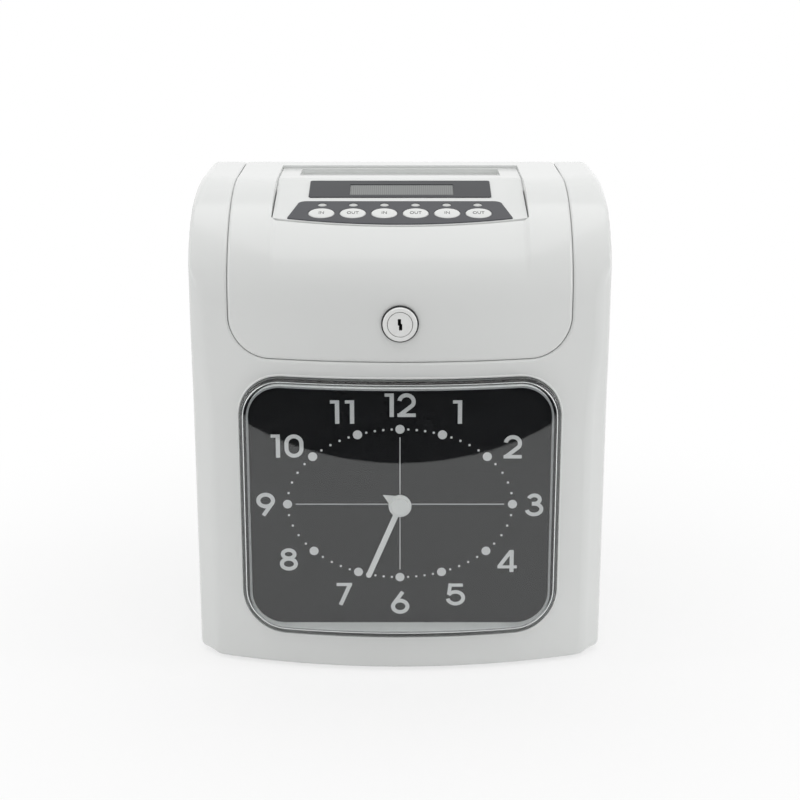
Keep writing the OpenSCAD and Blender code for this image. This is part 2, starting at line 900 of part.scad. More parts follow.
module control_panel() {
    color(white)
        difference() {
            union() {
                intersection() {
                    along_x(-panel_w/2, panel_w/2)
                        panel_strip(0, panel_t);
                    translate([0, 0, panel_z - 20])
                        linear_extrude(height = body_h)
                            panel_plan(0);
                }
                // Four posts that stand on the chassis plates
                intersection() {
                    for (s = [-1, 1])
                        for (y = [chassis_y0 + 6, chassis_y0 + 21])
                            translate([s*(chassis_x + plate_t/2), y, chassis_top])
                                cylinder(r = 3, h = body_h);
                    along_x(-panel_w/2, panel_w/2)
                        panel_strip(panel_t/2, body_h);
                }
                // Four posts that hold the key board
                on_panel()
                    for (s = [-1, 1])
                        for (v = [led_v + 5.5, lcd_v + lcd_h + 2.6])
                            translate([s*(board_w/2 - 2.6), v, board_top])
                                cylinder(r = 2, h = -board_top - panel_t/2);
            }
            on_panel() {
                translate([0, 0, -2*panel_t])
                    linear_extrude(height = 3*panel_t)
                        key_holes(0.1);
                translate([lcd_x - lcd_w/2 - fit, lcd_v - fit, -2*panel_t])
                    cube([lcd_w + 2*fit, lcd_h + 2*fit, 3*panel_t]);
            }
            block([-mouth_w/2, mouth_y, slot_flat_z - 2*panel_t], [mouth_w/2, mouth_y + mouth_d, top_z]);
        }
}

// Outline of the dark overlay, with its lower edge bowed like the panel's
module overlay_outline() {
    top_w = panel_w - 24;
    low_w = panel_w - 15.6;
    low_v = button_v - 5.7;
    top_v = led_v + 5.3;
    round_r = 4.5;
    edge_r = panel_edge_r - 0.8;
    intersection() {
        union() {
            polygon([[-low_w/2, low_v - 15], [low_w/2, low_v - 15], [low_w/2, low_v],
                     [top_w/2, top_v - round_r], [-top_w/2, top_v - round_r], [-low_w/2, low_v]]);
            translate([round_r - top_w/2, top_v - 2*round_r])
                square([top_w - 2*round_r, 2*round_r]);
            for (s = [-1, 1])
                translate([s*(top_w/2 - round_r), top_v - round_r])
                    circle(round_r);
        }
        translate([0, 0.8 + edge_r])
            circle(edge_r);
    }
}

module keypad_overlay() {
    color(dark_grey)
        on_panel()
            linear_extrude(height = overlay_t)
                difference() {
                    overlay_outline();
                    key_holes(0.1);
                }
}

module lcd_bezel() {
    color("#55575B")
        on_panel()
            linear_extrude(height = overlay_t)
                difference() {
                    translate([0, lcd_bezel_v + lcd_bezel_h/2])
                        rounded_rect(lcd_bezel_w, lcd_bezel_h, 1.5);
                    translate([lcd_x - lcd_w/2, lcd_v])
                        square([lcd_w, lcd_h]);
                }
}

module lcd_module() {
    color("#8E9290")
        on_panel() {
            translate([lcd_x - lcd_w/2 + touch, lcd_v + touch, board_top])
                cube([lcd_w - 2*touch, lcd_h - 2*touch, 0.2 - board_top]);
            translate([lcd_x - lcd_w/2 - 3, lcd_v - 2, board_top])
                cube([lcd_w + 6, lcd_h + 4, -board_top - panel_t - fit]);
        }
}

module panel_board() {
    color(green)
        on_panel() {
            translate([-board_w/2, 4, board_top - board_t])
                cube([board_w, panel_len - 8, board_t]);
            for (i = [0:5])
                translate([button_x(i), button_v, board_top]) {
                    translate([-3, -3, -touch])
                        cube([6, 6, 3.1]);
                    cylinder(r = 1.6, h = switch_top - board_top);
                }
        }
}

module indicator_leds() {
    color("#F2F2EE")
        on_panel()
            for (i = [0:5])
                translate([button_x(i), led_v, board_top]) {
                    cylinder(r = led_d/2 - 0.6, h = -board_top - panel_t);
                    translate([0, 0, -board_top - panel_t - 1])
                        cylinder(r = led_d/2, h = panel_t + 1 + overlay_t + 0.4);
                }
}

module button(i) {
    stem_end = switch_top + button_travel + 0.2;
    flange_top = -panel_t - 0.2;
    color("#F4F4F2")
        on_panel()
            translate([button_x(i), button_v, 0]) {
                translate([0, 0, flange_top - 0.8])
                    cylinder(r = button_flange_r, h = 0.8);
                translate([0, 0, flange_top - touch])
                    cylinder(r = button_d/2, h = button_proud - flange_top);
                translate([0, 0, stem_end])
                    cylinder(r = 2, h = flange_top - stem_end);
            }
}

module card_funnel() {
    top = slot_flat_z - panel_t;
    throat = funnel_bottom + 4;
    color(white)
        difference() {
            block([-mouth_w/2 - funnel_wall, mouth_y - funnel_wall, funnel_bottom],
                  [mouth_w/2 + funnel_wall, mouth_y + mouth_d + funnel_wall, top]);
            along_x(-mouth_w/2, mouth_w/2)
                polygon([[mouth_y, top + 1], [mouth_y + mouth_d, top + 1], [mouth_y + mouth_d, top - 1],
                         [card_y + card_gap/2, throat], [card_y - card_gap/2, throat], [mouth_y, top - 1]]);
            block([-chute_w/2, card_y - card_gap/2, funnel_bottom - 1],
                  [chute_w/2, card_y + card_gap/2, throat + 1]);
        }
}

// Dial

module dial_lens() {
    color("#DDE6EA")
        difference() {
            union() {
                intersection() {
                    along_y(front_y - lens_proud - 1, backing_y)
                        translate([0, dial_z])
                            rounded_rect(lens_w, lens_h, lens_corner_r);
                    translate([0, axis_y, 0])
                        cylinder(r = lens_front_r, h = body_h, $fn = 180);
                }
                along_y(ring_y, backing_y)
                    translate([0, dial_z])
                        rounded_rect(lens_w + 2*flange_w, lens_h + 2*flange_w, lens_corner_r + flange_w);
            }
            intersection() {
                along_y(front_y - lens_proud - 1, backing_y + 1)
                    translate([0, dial_z])
                        rounded_rect(lens_w - 2*lens_t, lens_h - 2*lens_t, lens_corner_r - lens_t);
                translate([0, axis_y, 0])
                    cylinder(r = lens_front_r - lens_t, h = body_h, $fn = 180);
            }
        }
}

module dial_plate() {
    inset = 2*(lens_t + fit);
    rim = 2;
    color(black)
        difference() {
            along_y(dial_y, backing_y)
                translate([0, dial_z])
                    rounded_rect(lens_w - inset, lens_h - inset, lens_corner_r - inset/2);
            along_y(dial_y + dial_t, backing_y + 1)
                translate([0, dial_z])
                    rounded_rect(lens_w - inset - 2*rim, lens_h - inset - 2*rim,
                                 lens_corner_r - inset/2 - rim);
            bar_y(0, dial_z, tube_r + 0.5, dial_y - 1, dial_y + dial_t + 1);
        }
}

module dial_backing() {
    color("#D5D7D6")
        difference() {
            along_y(backing_y, backing_y + backing_t)
                translate([0, dial_z])
                    rounded_rect(backing_w, lens_h + 2*flange_w, 8);
            bar_y(0, dial_z, tube_r + 0.8, backing_y - 1, movement_y + 1);
            for (s = [-1, 1])
                for (dz = [-1, 1])
                    bar_y(s*backing_boss_x, dial_z + dz*backing_boss_z, screw_r + 0.1,
                          backing_y - 1, movement_y + 1);
        }
}

module inner_screws() {
    color(steel) {
        for (s = [-1, 1]) {
            for (dz = [-1, 1])
                translate([s*backing_boss_x, movement_y, dial_z + dz*backing_boss_z])
                    rotate([-90, 0, 0])
                        pan_screw(backing_t + 3.5);
            translate([s*strike_boss_x, backing_y + strike_t, (strike_z0 + strike_z1)/2])
                rotate([-90, 0, 0])
                    pan_screw(strike_t + 5, screw_r/2);
            for (y = foot_ys)
                translate([s*chassis_foot_x, chassis_screw_y(y), base_top + plate_t])
                    pan_screw(plate_t + 2.5);
        }
    }
}

// Flat hand shapes point up, and turn to their bearing
module hour_hand() {
    color("#F1F2F0")
        along_y(hour_y - hand_t, hour_y)
            translate([0, dial_z])
                rotate(-hour_bearing)
                    difference() {
                        union() {
                            circle(hub_r - 0.4);
                            polygon([[hub_r - 1, 1], [0, hour_len], [-hub_r/2, hub_r - 2], [0, 0]]);
                        }
                        circle(tube_r + touch);
                    }
}

module minute_hand() {
    boss_y = minute_y - hand_t - 1.6;
    color("#F4F5F3")
        difference() {
            union() {
                along_y(minute_y - hand_t, minute_y)
                    translate([0, dial_z])
                        rotate(-minute_bearing) {
                            circle(hub_r);
                            translate([-minute_w/2, 0])
                                square([minute_w, minute_len - minute_w/2]);
                            translate([0, minute_len - minute_w/2])
                                circle(minute_w/2);
                        }
                bar_y(0, dial_z, boss_r, boss_y, minute_y - hand_t + touch);
            }
            bar_y(0, dial_z, arbor_r + touch, boss_y + 0.8, minute_y + 1);
        }
}

// Clock movement

function involute(a) = tan(a) - a*PI/180;
function tooth_half(r, n, m) =
    let (base = n*m/2*cos(pressure_angle))
        180*tooth_share/n + (involute(pressure_angle) - involute(acos(min(1, base/max(r, base)))))*180/PI;
function spoke(r, a) = [r*cos(a), r*sin(a)];

// Flat spur gear with its first tooth along X
module gear(n, m) {
    radii = [n*m/2 - dedendum*m, n*m/2, n*m/2 + addendum*m];
    polygon([
        for (i = [0:n - 1])
            for (j = [0:5])
                let (r = radii[j < 3 ? j : 5 - j], side = j < 3 ? -1 : 1)
                    spoke(r, 360*i/n + side*tooth_half(r, n, m))
    ]);
}

// Gear on an axis along Y, seen from the front
module wheel_y(pos, n, m, turn, y0, y1) {
    along_y(y0, y1)
        translate([pos[0], dial_z + pos[1]])
            rotate(turn)
                gear(n, m);
}

// Turn that puts a gap of the driven gear on the line to its driver
function gap_turn(angle, n) = angle + 180 + 180/n;

module movement_front() {
    color("#E6E2D6")
        difference() {
            union() {
                along_y(movement_y, movement_y + case_t)
                    translate([0, dial_z])
                        rounded_rect(movement_w, movement_w, 5);
                bar_y(motion_c, dial_z, arbor_r, movement_y, layer_b + wheel_t + 0.3);
            }
            bar_y(0, dial_z, tube_r + running_gap, movement_y - 1, movement_y + case_t + 1);
            for (p = [third_pos, rotor_pos])
                bar_y(p[0], dial_z + p[1], arbor_r + running_gap, movement_y + 0.5, movement_y + case_t + 1);
        }
}

module movement_case() {
    color("#E6E2D6")
        difference() {
            along_y(movement_y + case_t, movement_back)
                translate([0, dial_z])
                    rounded_rect(movement_w, movement_w, 5);
            along_y(movement_y, movement_back - case_t)
                translate([0, dial_z])
                    rounded_rect(movement_w - 2*case_t, movement_w - 2*case_t, 4);
            for (p = [[0, 0], third_pos, rotor_pos])
                bar_y(p[0], dial_z + p[1], arbor_r + running_gap,
                      movement_back - case_t - 1, movement_back + 1);
        }
}

module movement_coil() {
    x0 = third_c*0.4;
    color("#B5602E") {
        bar_x(movement_back - case_t - 3.4, dial_z - 17, 3, x0, x0 + 14);
        for (x = [x0 - 1, x0 + 13])
            block([x, movement_back - case_t - 6.6, dial_z - 20.2],
                  [x + 2, movement_back - case_t, dial_z - 13.8]);
    }
}

module centre_wheel() {
    color(brass) {
        bar_y(0, dial_z, arbor_r, minute_y - hand_t - 0.6, movement_back - 0.2);
        wheel_y([0, 0], cannon_teeth, motion_module, 0, layer_b, layer_b + wheel_t);
        wheel_y([0, 0], centre_teeth, train_module, third_angle, layer_c, layer_c + wheel_t);
    }
}

module hour_wheel() {
    color(brass)
        difference() {
            union() {
                bar_y(0, dial_z, tube_r, hour_y - hand_t - 0.3, layer_a + wheel_t);
                wheel_y([0, 0], hour_teeth, motion_module, gap_turn(180, hour_teeth),
                        layer_a, layer_a + wheel_t);
            }
            bar_y(0, dial_z, arbor_r + running_gap, hour_y - hand_t - 1, layer_b);
        }
}

module motion_wheel() {
    color(brass)
        difference() {
            union() {
                wheel_y([motion_c, 0], motion_teeth, motion_module, gap_turn(0, motion_teeth),
                        layer_b, layer_b + wheel_t);
                wheel_y([motion_c, 0], motion_pinion_teeth, motion_module, 180, layer_a, layer_b + touch);
            }
            bar_y(motion_c, dial_z, arbor_r + running_gap, movement_y, layer_c);
        }
}

module third_wheel() {
    color(brass) {
        bar_y(third_pos[0], dial_z + third_pos[1], arbor_r, movement_y + 0.6, movement_back - 0.2);
        wheel_y(third_pos, third_pinion_teeth, train_module, gap_turn(third_angle, third_pinion_teeth),
                layer_c - 0.3, layer_d);
        wheel_y(third_pos, third_teeth, train_module, rotor_angle, layer_d, layer_d + wheel_t);
    }
}

module rotor() {
    color("#6E7176") {
        bar_y(rotor_pos[0], dial_z + rotor_pos[1], arbor_r, movement_y + 0.6, movement_back - 0.2);
        wheel_y(rotor_pos, rotor_teeth, train_module, gap_turn(rotor_angle, rotor_teeth),
                layer_d - 0.3, layer_d + wheel_t + 0.3);
        bar_y(rotor_pos[0], dial_z + rotor_pos[1], 4, layer_d + wheel_t + 0.3, movement_back - case_t - 0.8);
    }
}

// Printer

function chassis_screw_y(y) = y < (foot_ys[0] + foot_ys[1])/2 ? chassis_y0 + 8 : chassis_y1 - 8;

module chassis_plate(s) {
    x0 = s > 0 ? chassis_x : -chassis_x - plate_t;
    f0 = s > 0 ? chassis_x : -chassis_x - plate_t - chassis_foot_w;
    color(steel)
        difference() {
            union() {
                block([x0, chassis_y0, base_top], [x0 + plate_t, chassis_y1, chassis_top]);
                block([f0, chassis_y0, base_top],
                      [f0 + plate_t + chassis_foot_w, chassis_y1, base_top + plate_t]);
            }
            bar_x(shaft_y, shaft_z, guide_shaft_r + touch, x0 - 1, x0 + plate_t + 1);
            bar_x(screw_y, screw_z, lead_screw_r + running_gap, x0 - 1, x0 + plate_t + 1);
            bar_x(feed_y, feed_z, feed_shaft_r + running_gap, x0 - 1, x0 + plate_t + 1);
            bar_x(pinch_y, feed_z, pinch_shaft_r + running_gap, x0 - 1, x0 + plate_t + 1);
            if (s < 0)
                bar_x(screw_motor_y, screw_motor_z, motor_shaft_r + 0.3, x0 - 1, x0 + plate_t + 1);
            if (s > 0)
                bar_x(feed_motor_y, feed_motor_z, motor_shaft_r + 0.3, x0 - 1, x0 + plate_t + 1);
            for (y = foot_ys)
                translate([s*chassis_foot_x, chassis_screw_y(y), base_top - 1])
                    cylinder(r = screw_r + 0.1, h = plate_t + 2);
        }
}

module chassis_left() {
    chassis_plate(-1);
}

module chassis_right() {
    chassis_plate(1);
}

module tyre_windows(y0, y1) {
    for (s = [-1, 1])
        block([s*(tyre_x + tyre_len/2) - tyre_len/2 - 1, y0, feed_z - feed_r - 1],
              [s*(tyre_x + tyre_len/2) + tyre_len/2 + 1, y1, feed_z + feed_r + 1]);
}

module front_guide() {
    y1 = card_y - card_gap/2;
    color(steel)
        difference() {
            block([-chassis_x, y1 - guide_t, guide_bottom], [chassis_x, y1, guide_top]);
            tyre_windows(y1 - guide_t - 1, y1 + 1);
            block([2 - chassis_x, y1 - guide_t - 1, print_z - 10], [chassis_x - 2, y1 + 1, print_z + 10]);
        }
}

module rear_guide() {
    y0 = card_y + card_gap/2;
    color(steel)
        difference() {
            union() {
                block([-chassis_x, y0, guide_bottom], [chassis_x, y0 + guide_t, guide_top]);
                // Fences at the card's edges, and the stop under the card
                for (s = [-1, 1])
                    block([s > 0 ? chute_w/2 : -chassis_x, y0 - card_gap, guide_bottom],
                          [s > 0 ? chassis_x : -chute_w/2, y0 + 1, guide_top]);
                block([-chassis_x, y0 - card_gap, guide_bottom], [chassis_x, y0 + 1, guide_bottom + 3]);
            }
            tyre_windows(y0 - 1, y0 + guide_t + 1);
            block([-reach, y0, print_z - 7.5], [reach, y0 + guide_t + 1, print_z + 7.5]);
        }
}

module platen() {
    y0 = card_y + card_gap/2;
    color(rubber_grey)
        block([-chassis_x, y0, print_z - 7], [chassis_x, y0 + 5.5, print_z + 7]);
}

module guide_shaft() {
    color(steel)
        bar_x(shaft_y, shaft_z, guide_shaft_r, -chassis_x - plate_t - 1, chassis_x + plate_t + 1);
}

// Gear on an axis along X
module wheel_x(y, z, n, turn, x0, x1) {
    along_x(x0, x1)
        translate([y, z])
            rotate(turn)
                gear(n, drive_module);
}

module lead_screw() {
    color(steel) {
        bar_x(screw_y, screw_z, lead_screw_r, -gear_x - gear_t - 0.5, chassis_x + plate_t + 1);
        wheel_x(screw_y, screw_z, screw_teeth, screw_motor_angle, -gear_x - gear_t, -gear_x);
    }
}

module carriage() {
    color("#303236")
        difference() {
            block([-carriage_w/2, shaft_y - 8, carriage_bottom], [carriage_w/2, shaft_y + 8, shaft_z + 5]);
            bar_x(shaft_y, shaft_z, guide_shaft_r + running_gap, -carriage_w, carriage_w);
            bar_x(screw_y, screw_z, lead_screw_r + fit, -carriage_w, carriage_w);
        }
}

module print_head() {
    nose_y = card_y - card_gap/2 - 2.2;
    color("#44474C") {
        block([-9, shaft_y - 9, shaft_z + 5], [9, shaft_y + 12, print_z + 8]);
        block([-5, shaft_y + 12 - touch, print_z - 3], [5, nose_y, print_z + 3]);
        for (i = [0:4])
            block([-10, shaft_y - 8 + 3.6*i, shaft_z + 7], [10, shaft_y - 6.4 + 3.6*i, print_z + 7]);
    }
}

module motor(y, z, s) {
    x_plate = s*chassis_x;
    color("#8C9096")
        difference() {
            bar_x(y, z, motor_r, min(x_plate, x_plate - s*motor_len), max(x_plate, x_plate - s*motor_len));
            bar_x(y, z, motor_shaft_r + running_gap,
                  min(x_plate - s*12, x_plate + s), max(x_plate - s*12, x_plate + s));
        }
}

module carriage_motor() {
    motor(screw_motor_y, screw_motor_z, -1);
}

module carriage_pinion() {
    color(brass) {
        wheel_x(screw_motor_y, screw_motor_z, pinion_teeth, gap_turn(screw_motor_angle, pinion_teeth),
                -gear_x - gear_t, -gear_x);
        bar_x(screw_motor_y, screw_motor_z, motor_shaft_r, -gear_x - gear_t, 10 - chassis_x);
    }
}

module ribbon_cassette() {
    y1 = card_y - card_gap/2;
    half = chassis_x - fit;
    arm_x = carriage_travel + carriage_w/2 + 3;
    low = print_z + 11;
    color("#26282B")
        difference() {
            union() {
                block([-half, shaft_y - 20, low], [half, y1 - guide_t - fit, low + 14]);
                for (s = [-1, 1])
                    block([s > 0 ? arm_x : -half, y1 - guide_t - 6, print_z - 5],
                          [s > 0 ? half : -arm_x, y1 - guide_t - fit, low + 1]);
                block([-half + 3, y1 - 1.5 - fit, print_z - 5], [half - 3, y1 - 1.2 - fit, print_z + 5]);
                for (s = [-1, 1])
                    block([s > 0 ? arm_x : -half + 3, y1 - guide_t - 1, print_z - 5],
                          [s > 0 ? half - 3 : -arm_x, y1 - 1.2 - fit, print_z + 5]);
            }
            for (s = [-1, 1])
                translate([s*24, shaft_y - 2, low + 11])
                    cylinder(r = 9, h = 6);
        }
}

module feed_roller() {
    color(rubber_grey) {
        bar_x(feed_y, feed_z, feed_shaft_r, -chassis_x - plate_t - 1, gear_x + gear_t);
        for (s = [-1, 1])
            bar_x(feed_y, feed_z, feed_r, s*(tyre_x + tyre_len/2) - tyre_len/2,
                  s*(tyre_x + tyre_len/2) + tyre_len/2);
        wheel_x(feed_y, feed_z, feed_teeth, feed_motor_angle, gear_x, gear_x + gear_t);
    }
}

module pinch_roller() {
    color(rubber_grey) {
        bar_x(pinch_y, feed_z, pinch_shaft_r, -chassis_x - plate_t - 1, chassis_x + plate_t + 1);
        for (s = [-1, 1])
            bar_x(pinch_y, feed_z, pinch_r, s*(tyre_x + tyre_len/2) - tyre_len/2,
                  s*(tyre_x + tyre_len/2) + tyre_len/2);
    }
}

module feed_motor() {
    motor(feed_motor_y, feed_motor_z, 1);
}

module feed_pinion() {
    color(brass) {
        wheel_x(feed_motor_y, feed_motor_z, pinion_teeth, gap_turn(feed_motor_angle, pinion_teeth),
                gear_x, gear_x + gear_t);
        bar_x(feed_motor_y, feed_motor_z, motor_shaft_r, chassis_x - 10, gear_x + gear_t);
    }
}

// Electronics

module main_board() {
    z0 = main_board_zs[0];
    z1 = main_board_zs[1];
    color(green) {
        block([-main_board_w/2, main_board_y, z0], [main_board_w/2, main_board_y + board_t, z1]);
        block([20, main_board_y - 2, z1 - 60], [34, main_board_y + touch, z1 - 30]);
        block([-50, main_board_y - 1.6, z1 - 50], [-38, main_board_y + touch, z1 - 38]);
        for (i = [0:2])
            translate([-58 + 9*i, main_board_y + touch, z0 + 16])
                rotate([90, 0, 0])
                    cylinder(r = 3.5, h = 5);
    }
}

module backup_battery() {
    x0 = chassis_foot_x + 10;
    cell_r = 7.2;
    cell_len = 24;
    color("#3C6FA8")
        union() {
            for (i = [0:2])
                bar_y(x0 + cell_r, base_top + cell_r, cell_r,
                      base_y0 + cell_len*i, base_y0 + cell_len*(i + 1) - 0.6);
            block([x0, base_y0, base_top], [x0 + 2*cell_r, base_y0 + 3*cell_len, base_top + cell_r/2]);
        }
}

module power_inlet() {
    color(rubber_grey)
        difference() {
            block([inlet_x - inlet_w/2, back_y - inlet_len, inlet_z - inlet_h/2],
                  [inlet_x + inlet_w/2, back_y, inlet_z + inlet_h/2]);
            bar_y(inlet_x, inlet_z, 3.2, back_y - 11, back_y + 1);
        }
}

front_housing();
top_cover();
rear_cover();
base_plate();
rubber_feet();
case_screws();
hinge_brackets();
hinge_pins();
lock_body();
lock_nut();
lock_plug();
lock_cam();
lock_strike();
control_panel();
keypad_overlay();
lcd_bezel();
lcd_module();
panel_board();
indicator_leds();
button(0);  // button_1
button(1);  // button_2
button(2);  // button_3
button(3);  // button_4
button(4);  // button_5
button(5);  // button_6
card_funnel();
dial_lens();
dial_plate();
dial_backing();
inner_screws();
hour_hand();
minute_hand();
movement_front();
movement_case();
movement_coil();
centre_wheel();
hour_wheel();
motion_wheel();
third_wheel();
rotor();
chassis_left();
chassis_right();
front_guide();
rear_guide();
platen();
guide_shaft();
lead_screw();
carriage();
print_head();
carriage_motor();
carriage_pinion();
ribbon_cassette();
feed_roller();
pinch_roller();
feed_motor();
feed_pinion();
main_board();
backup_battery();
power_inlet();
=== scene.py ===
import json
import math

import bmesh
import bpy
import numpy as np
from mathutils import Matrix, Vector

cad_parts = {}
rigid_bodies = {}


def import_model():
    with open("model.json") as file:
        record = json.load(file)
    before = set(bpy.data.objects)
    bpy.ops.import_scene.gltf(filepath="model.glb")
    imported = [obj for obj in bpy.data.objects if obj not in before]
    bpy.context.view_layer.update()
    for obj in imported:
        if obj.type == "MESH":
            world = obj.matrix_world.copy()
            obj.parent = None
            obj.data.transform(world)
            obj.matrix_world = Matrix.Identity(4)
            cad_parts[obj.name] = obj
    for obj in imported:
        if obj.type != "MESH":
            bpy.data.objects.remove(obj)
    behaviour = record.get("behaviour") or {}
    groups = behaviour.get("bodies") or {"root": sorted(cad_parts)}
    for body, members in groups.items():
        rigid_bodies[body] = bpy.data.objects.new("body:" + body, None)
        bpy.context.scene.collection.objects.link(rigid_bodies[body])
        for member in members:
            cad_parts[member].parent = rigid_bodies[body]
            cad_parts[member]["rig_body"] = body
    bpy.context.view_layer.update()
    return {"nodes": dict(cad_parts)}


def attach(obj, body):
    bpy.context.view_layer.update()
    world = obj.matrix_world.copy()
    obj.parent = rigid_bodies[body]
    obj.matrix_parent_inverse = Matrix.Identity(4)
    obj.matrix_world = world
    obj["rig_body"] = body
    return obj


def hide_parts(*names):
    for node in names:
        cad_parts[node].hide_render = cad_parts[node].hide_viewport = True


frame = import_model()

# Front housing: the white outer shell with the front, the sides and the top shoulders.
# It is one ABS moulding with a high gloss and soft outer edges. The solid's own walls,
# ledges and bosses are kept, and its outside is trimmed to the smooth moulded form.
MM = 0.001
HALF_W, FRONT_Y, BACK_Y, FLOOR_Z, TOP_Z = 109.0, -72.5, 77.5, 1.5, 252.0
FRONT_R, AXIS_Y = 300.0, 227.5
SHOULDER_DEPTH, SHOULDER_RISE, DEEP = 67.0, 53.0, -40.0
# The hollow over the lock fades in over (start, run) on each axis. Edge radii and the side
# band's width are (least, more, start, run), growing along z, or along x at the floor.
SCOOP_DEPTH, SCOOP_X, SCOOP_Y, SCOOP_Z = 1.3, (66.5, -3.0), (-20, -12), (208, 26)
REAR_EDGE, SIDE_EDGE, FLOOR_EDGE = (1.5, 7.5, 228, 15), (1.6, 4.2, 238, 11), (1.6, 3.2, 94, 11)
BAND_WIDTH, BAND_EDGE = (6.1, 3.9, 182, -47), 1.6
SEAM_X, SEAM_Z, SEAM_R, GROOVE_DEPTH, GROOVE_HALF = 88.05, 169.75, 21.0, 0.9, 0.7
SKIN, ON_SKIN, FACES_OUT, LIP_CRISP = 0.25, 0.05, 0.75, 12
HOLE_X, HOLE_ZS, HOLE_R, HOLE_END, HOLE_LIFT = 91.5, (32.8, 148.8), 1.8, -57.5, 0.42
SAME_PLACE = 0.02


def ease(t, start, run):
    """Eases from 0 to 1 as t goes on from the start over the run."""
    t = np.clip((t - start)/run, 0, 1)
    return t*t*(3 - 2*t)


def swell(t, least, more, start, run):
    """A size that grows from the least by some more, as t goes on from the start over the run."""
    return least + more*ease(t, start, run)


def round_meet(a, b, r):
    """Meets two faces in an outer edge of radius r."""
    corner = np.hypot(np.maximum(a + r, 0), np.maximum(b + r, 0))
    return np.minimum(np.maximum(a, b), -r) + corner


def bowed(x, radius=FRONT_R):
    """Depth at x of a face bowed to that radius about the front's axis."""
    return AXIS_Y - np.sqrt(radius**2 - x**2)


def band_reach(width):
    """Place of the 45 degree side band of that width, across its face."""
    x = HALF_W - width
    return (x - bowed(x))/math.sqrt(2)


def case_level(p):
    """How far a point in mm lies outside the moulded form of the case."""
    x, y, z = np.abs(p[:, 0]), p[:, 1], p[:, 2]
    u = np.maximum(np.hypot(x, y - AXIS_Y) - (FRONT_R - SHOULDER_DEPTH), 0)
    v = np.maximum(z - (TOP_Z - SHOULDER_RISE), 0)
    g = np.hypot(u/SHOULDER_DEPTH, v/SHOULDER_RISE)
    slope = np.hypot(u/SHOULDER_DEPTH**2, v/SHOULDER_RISE**2)/np.maximum(g, 1e-6)
    level = np.where(g > 0.05, (g - 1)/np.maximum(slope, 1e-6), DEEP)
    level = level + SCOOP_DEPTH*ease(x, *SCOOP_X)*ease(z, *SCOOP_Z)*ease(y, *SCOOP_Y)
    level = round_meet(level, y - BACK_Y, swell(z, *REAR_EDGE))
    level = round_meet(level, x - HALF_W, swell(z, *SIDE_EDGE))
    band = (x - y)/math.sqrt(2) - band_reach(swell(z, *BAND_WIDTH))
    level = round_meet(level, band, BAND_EDGE)
    level = round_meet(level, FLOOR_Z - z, swell(x, *FLOOR_EDGE))
    a, b = x - SEAM_X + SEAM_R, SEAM_Z + SEAM_R - z
    seam = np.hypot(np.maximum(a, 0), np.maximum(b, 0)) + np.minimum(np.maximum(a, b), 0) - SEAM_R
    return level + GROOVE_DEPTH*np.exp(-(seam/GROOVE_HALF)**2)


def case_slope(p):
    """Outward normal of the moulded form at points in mm."""
    ways = SAME_PLACE*np.eye(3)
    n = np.stack([case_level(p + d) - case_level(p - d) for d in ways], 1)
    return n/np.maximum(np.linalg.norm(n, axis=1), 1e-9)[:, None]


def steps(*marks):
    """Grid lines from (place, spacing) marks, each spacing holding up to the next place."""
    lines = [marks[0][0]]
    for (a, gap), (b, _) in zip(marks, marks[1:]):
        n = max(1, round((b - a)/gap))
        lines += [a + (b - a)*i/n for i in range(1, n + 1)]
    return np.array(lines)


def moulded_form(inset):
    """Closed mesh of the case form, set in by that many mm: a box of grid lines drawn in to it."""
    half = steps((0, 4), (60, 1.5), (64, 0.5), (91, 1.5), (HALF_W, 1))
    grid = (np.concatenate([-half[:0:-1], half]),
            steps((FRONT_Y, 1.6), (-30, 3), (-6, 5), (62, 2), (BACK_Y, 1)),
            steps((FLOOR_Z, 1), (12, 5), (130, 3.5), (167, 0.5), (193, 2.2), (TOP_Z, 1)))
    turn, back = ((0, 0), (1, 0), (1, 1), (0, 1)), ((0, 0), (0, 1), (1, 1), (1, 0))
    sides = ((0, 2, 1, turn, back), (0, 1, 2, back, turn), (1, 2, 0, back, turn))
    number, quads = {}, []
    for a, b, across, first, last in sides:
        for i in range(len(grid[a]) - 1):
            for k in range(len(grid[b]) - 1):
                for end, order in ((0, first), (len(grid[across]) - 1, last)):
                    quad = []
                    for da, db in order:
                        spot = [end, end, end]
                        spot[a], spot[b] = i + da, k + db
                        quad.append(number.setdefault(tuple(spot), len(number)))
                    quads.append(quad)
    p = np.array([[lines[n] for lines, n in zip(grid, spot)] for spot in number])
    core_low = np.array([-HALF_W, FRONT_Y, FLOOR_Z]) + (20, 45, 15)
    core_high = np.array([HALF_W, BACK_Y, TOP_Z]) - (20, 15, 25)
    core = np.clip(p, core_low, core_high)
    ray = p - core
    just_past, halvings = 1.001, 40
    near, far = np.zeros(len(p)), np.full(len(p), just_past)
    for _ in range(halvings):
        mid = (near + far)/2
        inside = case_level(core + ray*mid[:, None]) < -inset
        near, far = np.where(inside, mid, near), np.where(inside, far, mid)
    mesh = bpy.data.meshes.new("moulded_form")
    mesh.from_pydata((core + ray*near[:, None])*MM, [], quads)
    return mesh


def shade(mesh, degrees):
    """Smooth shading, with edges sharper than that many degrees kept crisp."""
    mesh.shade_smooth()
    mesh.set_sharp_from_angle(angle=math.radians(degrees))


def take_mesh(bm, name, crisp=None):
    """Makes bm a mesh of that name, shaded with its crisp angle where one is given."""
    mesh = bpy.data.meshes.new(name)
    bm.to_mesh(mesh)
    bm.free()
    if crisp:
        shade(mesh, crisp)
    return mesh


